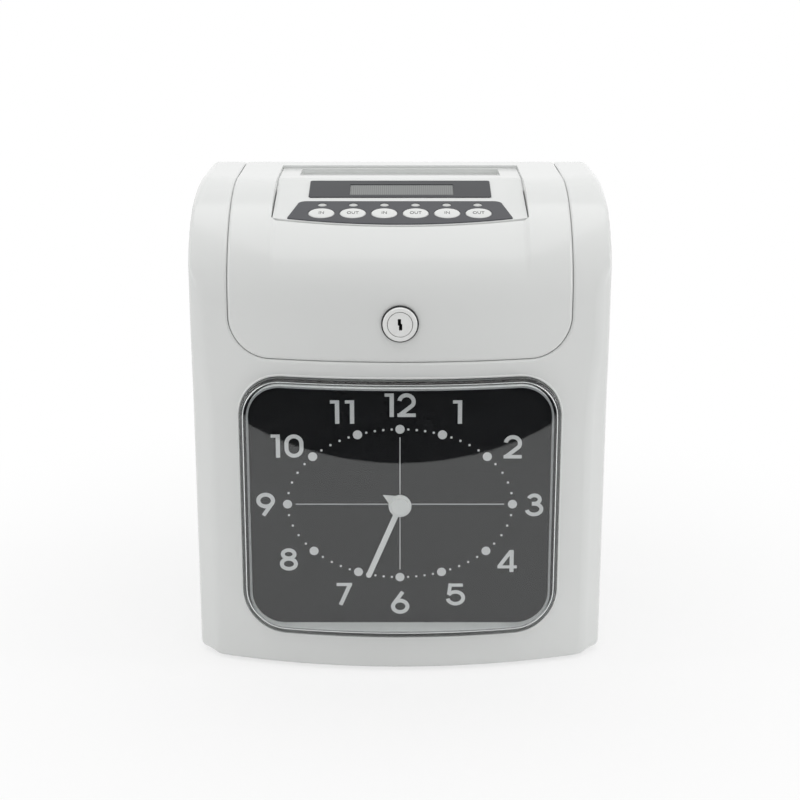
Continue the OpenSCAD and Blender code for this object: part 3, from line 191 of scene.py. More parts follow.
def loose_copy(node, whole_flats=False):
    """Copy of a CAD node's mesh with its loose triangles merged, and its flats made whole."""
    bm = bmesh.new()
    bm.from_mesh(frame["nodes"][node].data)
    bmesh.ops.remove_doubles(bm, verts=bm.verts, dist=2e-6)
    if whole_flats:
        bmesh.ops.dissolve_limit(bm, angle_limit=math.radians(0.4), verts=bm.verts, edges=bm.edges)
    return take_mesh(bm, node + "_copy")


def stand(name, mesh):
    """Puts a mesh in the scene as an object of that name."""
    obj = bpy.data.objects.new(name, mesh)
    bpy.context.scene.collection.objects.link(obj)
    return obj


def settle(obj):
    """Applies an object's modifiers to its mesh."""
    dg = bpy.context.evaluated_depsgraph_get()
    made = bpy.data.meshes.new_from_object(obj.evaluated_get(dg))
    obj.modifiers.clear()
    obj.data = made
    return obj


def lift_holes(mesh):
    """Lifts the ends of the front's blind screw holes, so that they stay under the skin."""
    for vert in mesh.vertices:
        x, y, z = vert.co*1000
        away = min(math.hypot(abs(x) - HOLE_X, z - hole_z) for hole_z in HOLE_ZS)
        if abs(y - HOLE_END) < SAME_PLACE and away < HOLE_R:
            vert.co.y += HOLE_LIFT*MM
    return mesh


def mould_outside(name, mesh):
    """Trims a CAD shell's copy to the smooth moulded form."""
    shell = stand(name, mesh)
    form = stand("form", moulded_form(SKIN))
    trim = shell.modifiers.new("trim", "BOOLEAN")
    trim.operation, trim.solver, trim.object = "INTERSECT", "MANIFOLD", form
    settle(shell)
    bpy.data.objects.remove(form)
    return shell


def layer(items, field, width, kind=float):
    """One field of a mesh's points, corners or faces, as rows of that width."""
    values = np.empty(len(items)*width, kind)
    items.foreach_get(field, values)
    return values.reshape(-1, width) if width > 1 else values


def polish_outside(shell):
    """Gives the moulded outside of a shell the form's own normals."""
    mesh = shell.data
    shade(mesh, LIP_CRISP)
    normals = layer(mesh.corner_normals, "vector", 3)
    corner = layer(mesh.loops, "vertex_index", 1, int)
    spots = layer(mesh.vertices, "co", 3)*1000
    sizes = layer(mesh.polygons, "loop_total", 1, int)
    facing = np.repeat(layer(mesh.polygons, "normal", 3), sizes, axis=0)
    slope = case_slope(spots)[corner]
    on_form = (np.abs(case_level(spots) + SKIN) < ON_SKIN)[corner]
    outside = on_form & ((facing*slope).sum(1) > FACES_OUT)
    starts = np.concatenate([[0], np.cumsum(sizes)[:-1]])
    whole = np.repeat(np.minimum.reduceat(outside.astype(int), starts), sizes).astype(bool)
    normals[whole] = slope[whole]
    mesh.normals_split_custom_set(normals.tolist())


def tune(node, values):
    """Sets a node's inputs by name."""
    for label, value in values.items():
        node.inputs[label].default_value = value


def shader_of(look):
    """The shader of a finish."""
    return look.node_tree.nodes["Principled BSDF"]


def finish(name, colour, rough, metal=0.0, mottle=0.025, mottle_scale=16.0, grain=0.04,
           grain_scale=1800.0, stretch=(1, 1, 1)):
    """A finish with a slightly clouded colour, an uneven gloss and a fine grain."""
    made = bpy.data.materials.new(name)
    made.use_nodes = True
    nodes, link = made.node_tree.nodes, made.node_tree.links.new
    shader = shader_of(made)
    tune(shader, {"Metallic": metal})
    place, lay = nodes.new("ShaderNodeTexCoord"), nodes.new("ShaderNodeMapping")
    tune(lay, {"Scale": stretch})
    link(place.outputs["Object"], lay.inputs["Vector"])
    cloud, speck = nodes.new("ShaderNodeTexNoise"), nodes.new("ShaderNodeTexNoise")
    for noise, scale, detail in ((cloud, mottle_scale, 4), (speck, grain_scale, 2)):
        tune(noise, {"Scale": scale, "Detail": detail})
        link(lay.outputs["Vector"], noise.inputs["Vector"])
    thin, dense = 0.3, 0.7
    tint = nodes.new("ShaderNodeValToRGB")
    for stop, share, at in zip(tint.color_ramp.elements, (1 - mottle, 1 + mottle), (thin, dense)):
        stop.position = at
        stop.color = [min(1, c*share) for c in colour] + [1]
    link(cloud.outputs["Fac"], tint.inputs["Fac"])
    link(tint.outputs["Color"], shader.inputs["Base Color"])
    gloss = nodes.new("ShaderNodeMapRange")
    tune(gloss, {"From Min": thin, "From Max": dense, "To Min": rough*0.88, "To Max": rough*1.12})
    link(cloud.outputs["Fac"], gloss.inputs["Value"])
    link(gloss.outputs["Result"], shader.inputs["Roughness"])
    relief = nodes.new("ShaderNodeBump")
    tune(relief, {"Strength": grain, "Distance": 0.2*MM})
    link(speck.outputs["Fac"], relief.inputs["Height"])
    link(relief.outputs["Normal"], shader.inputs["Normal"])
    return made


def fit(obj, body, slot, look, *nodes):
    """Gives a piece its finish, its body, and the CAD nodes that it stands for. The slot is not
    used.
    """
    obj.data.materials.clear()
    obj.data.materials.append(look)
    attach(obj, body)
    if nodes:
        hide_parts(*nodes)
    return obj


gloss_white = finish("gloss_white", (0.80, 0.812, 0.803), 0.17, mottle=0.012, grain=0.02,
                     grain_scale=900)
housing = mould_outside("front_housing_shell", lift_holes(loose_copy("front_housing")))
polish_outside(housing)
fit(housing, "case", "white_shell", gloss_white, "front_housing")

# Base plate, rubber feet and case screws: the plain bottom of the case. The plate is moulded
# in the shell's white plastic, the feet are pressed into it, and zinc-plated pan head screws
# hold it, the back and the hinge.
EDGE_CRISP = 32


def soften(node, look, slot, edge, rounds=2):
    """Stands a copy of a CAD node, with its edges broken by that many mm, in for the node."""
    obj = stand(node + "_piece", loose_copy(node, True))
    shade(obj.data, EDGE_CRISP)
    if edge:
        brk = obj.modifiers.new("broken_edges", "BEVEL")
        brk.limit_method, brk.angle_limit = "ANGLE", math.radians(EDGE_CRISP)
        brk.width, brk.segments, brk.use_clamp_overlap = edge*MM, rounds, True
        even = obj.modifiers.new("even_flats", "WEIGHTED_NORMAL")
        even.keep_sharp = True
        settle(obj)
    return fit(obj, frame["nodes"][node]["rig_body"], slot, look, node)


satin_white = finish("satin_white", (0.77, 0.78, 0.772), 0.42, mottle=0.015, grain=0.16,
                     grain_scale=1500)
# Black rubber of the feet; the same black is painted shade in the lock's keyway and ring.
rubber_and_shade_black = finish("rubber_and_shade_black", (0.022, 0.022, 0.024), 0.72, mottle=0.12, grain=0.25,
                     grain_scale=1100)
zinc_steel = finish("zinc_steel", (0.60, 0.61, 0.62), 0.33, metal=1.0, mottle=0.06,
                    mottle_scale=60, grain=0.08, grain_scale=700, stretch=(1, 1, 6))
soften("base_plate", satin_white, "white_shell", 0.5)
soften("rubber_feet", rubber_and_shade_black, "roller_rubber", 0.3)


def hoop(bm, radius, height, around, shift=0.0):
    """Adds a ring of points about Z to bm, turned on by a share of its spacing."""
    turns = [2*math.pi*(i + shift)/around for i in range(around)]
    return [bm.verts.new((radius*math.cos(a), radius*math.sin(a), height)) for a in turns]


def wall(bm, near, far):
    """Adds the faces between two closed loops of points, of which one may be a single point."""
    for i in range(max(len(near), len(far))):
        loop = (near[i % len(near)], near[(i + 1) % len(near)],
                far[(i + 1) % len(far)], far[i % len(far)])
        bm.faces.new(list(dict.fromkeys(loop)))


SCREW_AROUND, JOINED_CRISP = 28, 35


def screw_pattern(radius, shank):
    """Pan head screw with a cross recess: head seated at the origin, shank down -Z, in mm."""
    bm = bmesh.new()
    head, rise = 1.9*radius, 0.88*radius
    line = [(0.62*head, rise), (0.86*head, 0.86*rise), (0.97*head, 0.55*rise), (head, 0.12*rise),
            (0.97*head, 0), (radius, 0), (radius, -shank + radius), (0.25*radius, -shank)]
    rings = [hoop(bm, r, h, SCREW_AROUND, 0.5) for r, h in line]
    for low, high in zip(rings, rings[1:]):
        wall(bm, low, high)
    bm.faces.new(rings[-1][::-1])
    arm, slot_w, depth = 0.5*head, 0.1*head, 0.55*rise
    cross = [(arm, -slot_w), (arm, slot_w), (slot_w, slot_w)]
    for _ in range(3):
        cross += [(-y, x) for x, y in cross[-3:]]
    top = [bm.verts.new((x, y, rise)) for x, y in cross]
    floor = [bm.verts.new((0.8*x, 0.8*y, rise - depth)) for x, y in cross]
    wall(bm, top, floor)
    bm.faces.new(floor)
    edges = [bm.edges.get(pair) for loop in (top, rings[0])
             for pair in zip(loop, loop[1:] + loop[:1])]
    bmesh.ops.triangle_fill(bm, use_beauty=True, edges=edges)
    over_recess = [face for face in bm.faces if all(v in top for v in face.verts)]
    bmesh.ops.delete(bm, geom=over_recess, context="FACES_ONLY")
    bmesh.ops.recalc_face_normals(bm, faces=bm.faces)
    bmesh.ops.scale(bm, vec=(MM, MM, MM), verts=bm.verts)
    return take_mesh(bm, "screw_pattern", JOINED_CRISP)


def size_inputs(tree, sizes):
    """Gives a tree named inputs for its sizes, and gives back their identifiers."""
    ids = {}
    for label, value in sizes.items():
        socket = tree.interface.new_socket(label, in_out="INPUT", socket_type="NodeSocketFloat")
        socket.default_value = value
        ids[label] = socket.identifier
    return ids


def give_out(tree, label, instances, look):
    """Ends a tree: its instances are made real, painted and given out under that label."""
    tree.interface.new_socket(label, in_out="OUTPUT", socket_type="NodeSocketGeometry")
    real = tree.nodes.new("GeometryNodeRealizeInstances")
    tree.links.new(instances, real.inputs["Geometry"])
    paint = tree.nodes.new("GeometryNodeSetMaterial")
    tune(paint, {"Material": look})
    tree.links.new(real.outputs["Geometry"], paint.inputs["Geometry"])
    done = tree.nodes.new("NodeGroupOutput")
    tree.links.new(paint.outputs["Geometry"], done.inputs[label])


def run_tree(obj, tree, ids, sizes):
    """Runs a tree with those sizes on an object, and leaves it a plain mesh."""
    make = obj.modifiers.new(tree.name, "NODES")
    make.node_group = tree
    for label, value in sizes.items():
        make[ids[label]] = value
    return settle(obj)


SCREW_SIZE = {"Screw size": 1.0}


def screw_tree(pattern, look):
    """Geometry Nodes tree that sets a screw on each seat, with its head the way the seat says."""
    tree = bpy.data.node_groups.new("screw_set", "GeometryNodeTree")
    tree.interface.new_socket("Seats", in_out="INPUT", socket_type="NodeSocketGeometry")
    ids = size_inputs(tree, SCREW_SIZE)
    n, link = tree.nodes, tree.links.new
    seats = n.new("NodeGroupInput")
    screw = n.new("GeometryNodeObjectInfo")
    tune(screw, {"Object": pattern})
    head = n.new("GeometryNodeInputNamedAttribute")
    head.data_type = "FLOAT_VECTOR"
    tune(head, {"Name": "head"})
    turn = n.new("FunctionNodeAlignRotationToVector")
    turn.axis = "Z"
    link(head.outputs["Attribute"], turn.inputs["Vector"])
    put = n.new("GeometryNodeInstanceOnPoints")
    link(seats.outputs["Seats"], put.inputs["Points"])
    link(screw.outputs["Geometry"], put.inputs["Instance"])
    link(turn.outputs["Rotation"], put.inputs["Rotation"])
    link(seats.outputs["Screw size"], put.inputs["Scale"])
    give_out(tree, "Screws", put.outputs["Instances"], look)
    return tree, ids


def screw_set(name, places, head, radius, shank):
    """Screws at places in mm with their heads that way, made by the tree as one plain mesh."""
    pattern = stand("pattern", screw_pattern(radius, shank))
    tree, ids = screw_tree(pattern, zinc_steel)
    mesh = bpy.data.meshes.new(name)
    mesh.from_pydata([[c*MM for c in place] for place in places], [], [])
    way = mesh.attributes.new("head", "FLOAT_VECTOR", "POINT")
    way.data.foreach_set("vector", head*len(places))
    obj = run_tree(stand(name, mesh), tree, ids, SCREW_SIZE)
    bpy.data.objects.remove(pattern)
    return obj


def join(name, *parts):
    """Joins loose pieces into one mesh object."""
    bm = bmesh.new()
    for part in parts:
        bm.from_mesh(part.data)
        bpy.data.objects.remove(part)
    return stand(name, take_mesh(bm, name, JOINED_CRISP))


SIDES, TO_REAR, UP, DOWN = (-1, 1), (0, 1, 0), (0, 0, 1), (0, 0, -1)
SCREW_R, REAR_SEAT_Y = 1.5, 76.08
REAR_SCREW_X, REAR_SCREW_ZS = 102.5, (25, 215)
HINGE_SCREW_X, HINGE_SCREW_Z = 62, 225.65
BASE_SCREW_X, FEET_Y = 90.5, (-32.5, 51.5)
rear_seats = [(s*REAR_SCREW_X, REAR_SEAT_Y, z) for s in SIDES for z in REAR_SCREW_ZS]
hinge_seats = [(s*HINGE_SCREW_X, REAR_SEAT_Y, HINGE_SCREW_Z) for s in SIDES]
base_seats = [(s*BASE_SCREW_X, y, FLOOR_Z) for s in SIDES for y in FEET_Y]
case_screws = join("case_screw_set",
                   screw_set("rear_seats", rear_seats, TO_REAR, SCREW_R, 12.5),
                   screw_set("hinge_seats", hinge_seats, TO_REAR, SCREW_R, 8.5),
                   screw_set("base_seats", base_seats, DOWN, SCREW_R, 4.3))
fit(case_screws, "case", "zinc_steel", zinc_steel, "case_screws")

# Chassis and card guides: two folded steel plates with the bright guides between them.
# They are cut from zinc-plated sheet, stand on the base plate and carry the printer and the panel.
for node in ("chassis_left", "chassis_right", "front_guide", "rear_guide"):
    soften(node, zinc_steel, "zinc_steel", 0.25)

# Card feed and printer: rubber rollers and a carriage that prints through the ribbon.
# Shafts are ground steel, gears are brass, and the cassette and carriage are black mouldings.
gear_brass = finish("gear_brass", (0.62, 0.43, 0.15), 0.30, metal=1.0, mottle=0.08,
                    mottle_scale=90, grain=0.05, grain_scale=1400)
motor_steel = finish("motor_steel", (0.42, 0.43, 0.45), 0.38, metal=1.0, mottle=0.07,
                     mottle_scale=70, grain=0.1, stretch=(8, 1, 1))
roller_rubber = finish("roller_rubber", (0.035, 0.035, 0.038), 0.64, mottle=0.1, grain=0.3,
                       grain_scale=1600)
black_plastic = finish("black_plastic", (0.030, 0.031, 0.034), 0.36, mottle=0.08, grain=0.18,
                       grain_scale=1300)
soften("platen", roller_rubber, "roller_rubber", 0.6)
soften("guide_shaft", zinc_steel, "zinc_steel", 0.4)
soften("lead_screw", zinc_steel, "zinc_steel", 0.08)
soften("carriage", black_plastic, "black_plastic", 0.6)
soften("print_head", motor_steel, "black_plastic", 0.3)
soften("carriage_motor", motor_steel, "zinc_steel", 0.6)
soften("carriage_pinion", gear_brass, "gear_brass", 0.06)
soften("ribbon_cassette", black_plastic, "black_plastic", 0.5)
soften("feed_roller", roller_rubber, "roller_rubber", 0.08)
soften("pinch_roller", roller_rubber, "roller_rubber", 0.3)
soften("feed_motor", motor_steel, "zinc_steel", 0.6)
soften("feed_pinion", gear_brass, "gear_brass", 0.06)

# Main board, key board and backup battery: green circuit boards with their copper tracks
# under the mask. The battery is three cells in a blue sleeve, clipped to the base.


def calc(tree, kind, *values):
    """A Math node's result in that tree, from sockets or numbers."""
    node = tree.nodes.new("ShaderNodeMath")
    node.operation = kind
    for k, value in enumerate(values):
        if isinstance(value, (int, float)):
            node.inputs[k].default_value = value
        else:
            tree.links.new(value, node.inputs[k])
    return node.outputs["Value"]


def overprint(look, share, colour):
    """Lays a second colour over a finish, by the share that a socket gives."""
    nodes, link = look.node_tree.nodes, look.node_tree.links.new
    base = shader_of(look).inputs["Base Color"]
    ground = base.links[0].from_socket
    blend = nodes.new("ShaderNodeMix")
    blend.data_type = "RGBA"
    blend.inputs["B"].default_value = (*colour, 1)
    link(share, blend.inputs["Factor"])
    link(ground, blend.inputs["A"])
    link(blend.outputs["Result"], base)
    return look


def board_look(name, mask, track, pitch):
    """Solder mask with the lighter lines of the tracks that run under it."""
    made = finish(name, mask, 0.34, mottle=0.08, mottle_scale=40, grain=0.1)
    tree, track_gap, track_half = made.node_tree, 0.11, 0.03
    cells = tree.nodes.new("ShaderNodeTexVoronoi")
    cells.distance, cells.feature = "CHEBYCHEV", "F1"
    tune(cells, {"Scale": pitch})
    tree.links.new(tree.nodes["Mapping"].outputs["Vector"], cells.inputs["Vector"])
    bands = calc(tree, "PINGPONG", cells.outputs["Distance"], track_gap)
    return overprint(made, calc(tree, "LESS_THAN", bands, track_half), track)


board_green = board_look("board_green", (0.012, 0.085, 0.035), (0.03, 0.16, 0.07), 70)
battery_blue = finish("battery_blue", (0.03, 0.12, 0.33), 0.3, mottle=0.05, grain=0.06)
soften("main_board", board_green, "board_green", 0.15)
soften("panel_board", board_green, "board_green", 0.12)
soften("backup_battery", battery_blue, "battery_blue", 0.6)

# Clock movement: a quartz movement in a two-part cream moulding behind the dial.
# Its wheels are stamped brass on steel arbors, with a copper coil and a magnet rotor.
movement_cream = finish("movement_cream", (0.70, 0.67, 0.58), 0.4, mottle=0.02, grain=0.15)
coil_copper = finish("coil_copper", (0.60, 0.24, 0.09), 0.35, metal=1.0, mottle=0.1,
                     mottle_scale=200, grain=0.3, grain_scale=900, stretch=(20, 1, 1))
soften("movement_front", movement_cream, "inner_plastic", 0.2)
soften("movement_case", movement_cream, "inner_plastic", 0.5)
soften("movement_coil", coil_copper, "coil_copper", 0.2)
for node in ("centre_wheel", "hour_wheel", "motion_wheel", "third_wheel"):
    soften(node, gear_brass, "gear_brass", 0)
soften("rotor", motor_steel, "zinc_steel", 0)

# Dial: a black pressed plate on its backing, with printed numbers, dots and cross lines.
# The print is a raised film of pale grey ink, and the plate sits in the lens like a lid.
DIAL_Y, DIAL_Z, INK = -62.5, 90.8, 0.06
dial_black = finish("dial_black", (0.0105, 0.0107, 0.0118), 0.62, mottle=0.06, grain=0.03,
                    grain_scale=1500)
tune(shader_of(dial_black), {"Specular IOR Level": 0.12})
dial_ink = finish("dial_ink", (0.70, 0.70, 0.70), 0.5, mottle=0.02, grain=0.05)
soften("dial_backing", satin_white, "inner_plastic", 0.4)
soften("dial_plate", dial_black, "dial_black", 0.25)
DOTS, DOT_AROUND = 60, 24
DOT_SIZES = {"Half width": 58.8*MM, "Half height": 41.0*MM, "Minute dot": 0.62*MM,
             "Hour dot": 2.4*MM, "Ink film": INK*MM}


def dots_tree(look):
    """Geometry Nodes tree for the dial's dots: one a minute on an oval, larger at the hours."""
    tree = bpy.data.node_groups.new("dial_dots", "GeometryNodeTree")
    ids = size_inputs(tree, DOT_SIZES)
    n, link = tree.nodes, tree.links.new
    size = n.new("NodeGroupInput").outputs
    wide, high, film = size["Half width"], size["Half height"], size["Ink film"]
    small, large = size["Minute dot"], size["Hour dot"]

    def reckon(kind, *values):
        return calc(tree, kind, *values)

    def times(a, b):
        return calc(tree, "MULTIPLY", a, b)

    minute = n.new("GeometryNodeInputIndex").outputs["Index"]
    angle = times(minute, 2*math.pi/DOTS)
    side, up = reckon("SINE", angle), reckon("COSINE", angle)
    slant = reckon("SQRT", reckon("ADD", reckon("POWER", times(high, side), 2.0),
                                  reckon("POWER", times(wide, up), 2.0)))
    reach = reckon("DIVIDE", times(wide, high), slant)
    spot = n.new("ShaderNodeCombineXYZ")
    link(times(reach, side), spot.inputs["X"])
    link(reckon("ADD", times(reach, up), DIAL_Z*MM), spot.inputs["Z"])
    link(reckon("SUBTRACT", DIAL_Y*MM, times(film, 0.5)), spot.inputs["Y"])
    marks = n.new("GeometryNodePoints")
    tune(marks, {"Count": DOTS})
    link(spot.outputs["Vector"], marks.inputs["Position"])
    disc = n.new("GeometryNodeMeshCylinder")
    tune(disc, {"Vertices": DOT_AROUND, "Radius": 1.0, "Depth": 1.0})
    hour = reckon("LESS_THAN", reckon("MODULO", minute, 5.0), 0.5)
    grow = reckon("ADD", small, times(hour, reckon("SUBTRACT", large, small)))
    scale = n.new("ShaderNodeCombineXYZ")
    for socket, axis in ((grow, "X"), (grow, "Y"), (film, "Z")):
        link(socket, scale.inputs[axis])
    put = n.new("GeometryNodeInstanceOnPoints")
    link(marks.outputs["Points"], put.inputs["Points"])
    link(disc.outputs["Mesh"], put.inputs["Instance"])
    tune(put, {"Rotation": (math.pi/2, 0, 0)})
    link(scale.outputs["Vector"], put.inputs["Scale"])
    give_out(tree, "Dots", put.outputs["Instances"], look)
    return tree, ids


dots = run_tree(stand("dial_dots", bpy.data.meshes.new("dial_dots")), *dots_tree(dial_ink),
                DOT_SIZES)
shade(dots.data, JOINED_CRISP)
fit(dots, "case", "hand_white", dial_ink)


def arc(x, y, wide, high, start, end, n=28):
    """Points along an oval arc, in mm and degrees."""
    turns = [math.radians(start + (end - start)*i/n) for i in range(n + 1)]
    return [(x + wide*math.cos(a), y + high*math.sin(a)) for a in turns]


# Strokes of each figure, as (width, middle line) in mm on a figure about 13 mm tall.
FIGURES = {
    "0": [(2.2, arc(5.15, 8.1, 4.05, 4.05, 0, 180, 20) +
           arc(5.15, 5.15, 4.05, 4.05, 180, 360, 20) + [(9.2, 8.1)])],
    "1": [(2.3, [(3.8, 0), (3.8, 13.2)]), (1.8, [(0, 12.3), (3.8, 12.3)])],
    "2": [(2.2, arc(4.95, 8.6, 3.85, 3.6, 172, -36) + [(1.5, 1.2)]), (2.0, [(0, 1), (9.9, 1)])],
    "3": [(2.15, arc(5, 9.75, 3.0, 2.4, 165, -90) + [(3.7, 7.35)]),
          (2.15, [(3.7, 7.25)] + arc(5, 4.15, 4.0, 3.1, 90, -170))],
    "4": [(2.25, [(7.9, 0), (7.9, 13)]), (2.1, [(7.6, 12.6), (1.0, 3.3)]),
          (1.8, [(0.1, 3.05), (10.8, 3.05)])],
    "5": [(1.9, [(1.75, 12.25), (9.4, 12.25)]), (2.0, [(2.5, 13.2), (1.6, 6.5)]),
          (2.15, arc(5.35, 4.65, 4.3, 3.55, 152, -172))],
    "6": [(2.25, arc(5.1, 4.5, 4.0, 3.4, 0, 360, 40)), (2.2, [(1.75, 6.3), (6.5, 13.2)])],
    "7": [(1.9, [(0, 12.25), (8.6, 12.25)]), (2.2, [(7.5, 12.5), (2.1, 0)])],
    "8": [(2.15, arc(4.95, 9.75, 3.25, 2.4, 0, 360, 40)),
          (2.2, arc(4.95, 4.05, 3.9, 2.95, 0, 360, 40))]}
FIGURES["9"] = [(w, [(10.2 - x, 13.2 - y) for x, y in line]) for w, line in FIGURES["6"]]
FIGURE_SCALE, FIGURE_GAPS, LAP_THINNER = 0.955, {10: 2.4, 11: 3.1, 12: 1.9}, 0.15
NUMBER_PLACES = {1: (29.6, 50.3), 2: (58.4, 31.5), 3: (70.2, -0.4), 4: (56.6, -31.8),
                 5: (29.5, -50.9), 6: (0.1, -55.4), 7: (-29.5, -50.6), 8: (-58.7, -31),
                 9: (-70.2, 0), 10: (-58.4, 31.9), 11: (-29.8, 50.3), 12: (0.1, 54)}


def ink_stroke(bm, line, width, film):
    """Adds a stroke of ink to bm: a film along a line in the XZ plane, square-ended, in mm."""
    line, root = np.array(line), 0.02
    loop = np.allclose(line[0], line[-1])
    if loop:
        line = line[:-1]
    run = (np.roll(line, -1, 0) - line) if loop else np.diff(line, axis=0)
    run = run/np.linalg.norm(run, axis=1)[:, None]
    if loop:
        into, out = np.roll(run, 1, 0), run
    else:
        into, out = np.vstack([run[:1], run]), np.vstack([run, run[-1:]])
    way = into + out
    way = way/np.linalg.norm(way, axis=1)[:, None]
    mitre = np.maximum((way*out).sum(1), 0.5)[:, None]
    side = np.stack([-way[:, 1], way[:, 0]], 1)/mitre*width/2
    rings = []
    for a, b in zip(line + side, line - side):
        section = ((a, -film), (b, -film), (b, root), (a, root))
        rings.append([bm.verts.new((spot[0], depth, spot[1])) for spot, depth in section])
    for near, far in zip(rings, rings[1:] + rings[:1] if loop else rings[1:]):
        wall(bm, near, far)
    if not loop:
        bm.faces.new(rings[0])
        bm.faces.new(rings[-1][::-1])


sheets = []
for number, (x, z) in NUMBER_PLACES.items():
    bm, start = bmesh.new(), 0.0
    for figure in str(number):
        before = len(bm.verts)
        for k, (width, line) in enumerate(FIGURES[figure]):
            ink_stroke(bm, line, width, INK*(1 - LAP_THINNER*k))
        bm.verts.ensure_lookup_table()
        fresh = bm.verts[before:]
        low, high = min(v.co.x for v in fresh), max(v.co.x for v in fresh)
        for v in fresh:
            v.co.x += start - low
        start += high - low + FIGURE_GAPS.get(number, 0)
    bmesh.ops.recalc_face_normals(bm, faces=bm.faces)
    width, height = max(v.co.x for v in bm.verts), max(v.co.z for v in bm.verts)
    for v in bm.verts:
        v.co = ((FIGURE_SCALE*(v.co.x - width/2) + x)*MM, (DIAL_Y + v.co.y)*MM,
                (DIAL_Z + FIGURE_SCALE*(v.co.z - height/2) + z)*MM)
    sheets.append(stand("number", take_mesh(bm, "number")))
numbers = join("dial_numbers", *sheets)
fit(numbers, "case", "hand_white", dial_ink)


def bar(low, high):
    """Box between two corners in mm."""
    bm = bmesh.new()
    bmesh.ops.create_cube(bm, size=1.0)
    for v in bm.verts:
        v.co = [(a + b)/2000 + c*(b - a)/1000 for a, b, c in zip(low, high, v.co)]
    return stand("bar", take_mesh(bm, "bar"))


LINE_HALF, LINE_REACH, LINE_RISE, UPRIGHT_INK = 0.22, 54.5, 36.6, INK*0.9
cross = join("dial_cross_lines",
             bar((-LINE_REACH, DIAL_Y - INK, DIAL_Z - LINE_HALF),
                 (LINE_REACH, DIAL_Y, DIAL_Z + LINE_HALF)),
             bar((-LINE_HALF, DIAL_Y - UPRIGHT_INK, DIAL_Z - LINE_RISE),
                 (LINE_HALF, DIAL_Y, DIAL_Z + LINE_RISE)))
fit(cross, "case", "hand_white", dial_ink)

# Hands: two white stamped and painted aluminium hands pressed on the movement's tubes.
# The minute hand has a turned boss in the middle, and the hour hand shows only as a short fin.
hand_white = finish("hand_white", (0.80, 0.80, 0.79), 0.34, mottle=0.012, grain=0.03)
soften("hour_hand", hand_white, "hand_white", 0.18)
soften("minute_hand", hand_white, "hand_white", 0.3, rounds=3)

# Lens: one thick clear acrylic moulding that stands out of the front, with a rounded front edge.
# Its flange is clamped behind the housing's rim. A white ring stands round the dial behind it,
# its front faces a darker grey as painted shade, and a low bead runs round it on the housing.
LENS_W, LENS_H, LENS_CORNER, LENS_R, LENS_WALL = 166.6, 140.0, 22.5, 305.0, 2.0
LENS_SOFT, INNER_SOFT = 1.9, 0.9
FLANGE_W, FLANGE_FRONT, FLANGE_BACK = 4.0, -55.5, -53.5
FLAT_CELL, CORNER_CELLS, ROUND_CRISP = 6, 7, 40


def rounded_sheet(w, h, r):
    """Rows of (x, z) points over a rounded rectangle, bent round its corners."""
    def lines(size):
        mid = max(2, round((size - 2*r)/FLAT_CELL))
        flat = [r - size/2 + (size - 2*r)*i/mid for i in range(mid + 1)]
        curve = [r*i/CORNER_CELLS for i in range(1, CORNER_CELLS + 1)]
        return [-size/2 + r - a for a in reversed(curve)] + flat + [size/2 - r + a for a in curve]

    rows = []
    for z in lines(h):
        row = []
        for x in lines(w):
            a, b = max(0, abs(x) - w/2 + r)/r, max(0, abs(z) - h/2 + r)/r
            if a and b:
                row.append((math.copysign(w/2 - r + r*a*math.sqrt(1 - b*b/2), x),
                            math.copysign(h/2 - r + r*b*math.sqrt(1 - a*a/2), z)))
            else:
                row.append((x, z))
        rows.append(row)
    return rows


def rim_of(rows):
    """The outer points of a grid, in order round it."""
    return (list(rows[0]) + [row[-1] for row in rows[1:]] + list(reversed(rows[-1]))[1:] +
            [row[0] for row in reversed(rows[1:-1])])


def lens_sheet(inset, drop=0.0):
    """Rows of points over the lens, set in from its edge and dropped at the bottom."""
    return rounded_sheet(LENS_W - 2*inset, LENS_H - 2*inset + drop, LENS_CORNER - inset)


def lens_loop(inset, depth, radius=None, drop=0.0):
    """Points in mm round that sheet, at one depth or that far behind a bow of that radius."""
    return [(x, bowed(x, radius) + depth if radius else depth, DIAL_Z + z - drop/2)
            for x, z in rim_of(lens_sheet(inset, drop))]


def lens_mesh():
    """Closed mesh of the lens: bowed front, rounded edge, side wall and flange, and its inside."""
    bm = bmesh.new()
    bends = [math.pi/2*i/6 for i in range(1, 7)]

    def face(inset, radius):
        rows = [[bm.verts.new((x, bowed(x, radius), DIAL_Z + z)) for x, z in row]
                for row in lens_sheet(inset)]
        for low, high in zip(rows, rows[1:]):
            for i in range(len(low) - 1):
                bm.faces.new((low[i], low[i + 1], high[i + 1], high[i]))
        return rim_of(rows)

    def ring(inset, depth, radius=None):
        return [bm.verts.new(spot) for spot in lens_loop(inset, depth, radius)]

    def edge(inset, soft, radius, turns):
        return [ring(inset + soft*(1 - math.sin(a)), soft*(1 - math.cos(a)), radius)
                for a in turns]

    inner_r = LENS_R - LENS_WALL
    front, inside = face(LENS_SOFT, LENS_R), face(LENS_WALL + INNER_SOFT, inner_r)
    rings = [front] + edge(0, LENS_SOFT, LENS_R, bends)
    rings += [ring(0, FLANGE_FRONT), ring(-FLANGE_W, FLANGE_FRONT),
              ring(-FLANGE_W, FLANGE_BACK), ring(LENS_WALL, FLANGE_BACK)]
    rings += edge(LENS_WALL, INNER_SOFT, inner_r, reversed(bends)) + [inside]
    for near, far in zip(rings, rings[1:]):
        wall(bm, near, far)
    bmesh.ops.recalc_face_normals(bm, faces=bm.faces)
    bmesh.ops.scale(bm, vec=(MM, MM, MM), verts=bm.verts)
    return take_mesh(bm, "lens", ROUND_CRISP)


clear_lens = finish("clear_lens", (0.965, 0.985, 0.985), 0.0, mottle=0.004, grain=0.0)
tune(shader_of(clear_lens), {"Transmission Weight": 1.0, "IOR": 1.49})
lens = stand("dial_lens_moulding", lens_mesh())
lens.visible_shadow = False
fit(lens, "case", "clear_lens", clear_lens, "dial_lens")


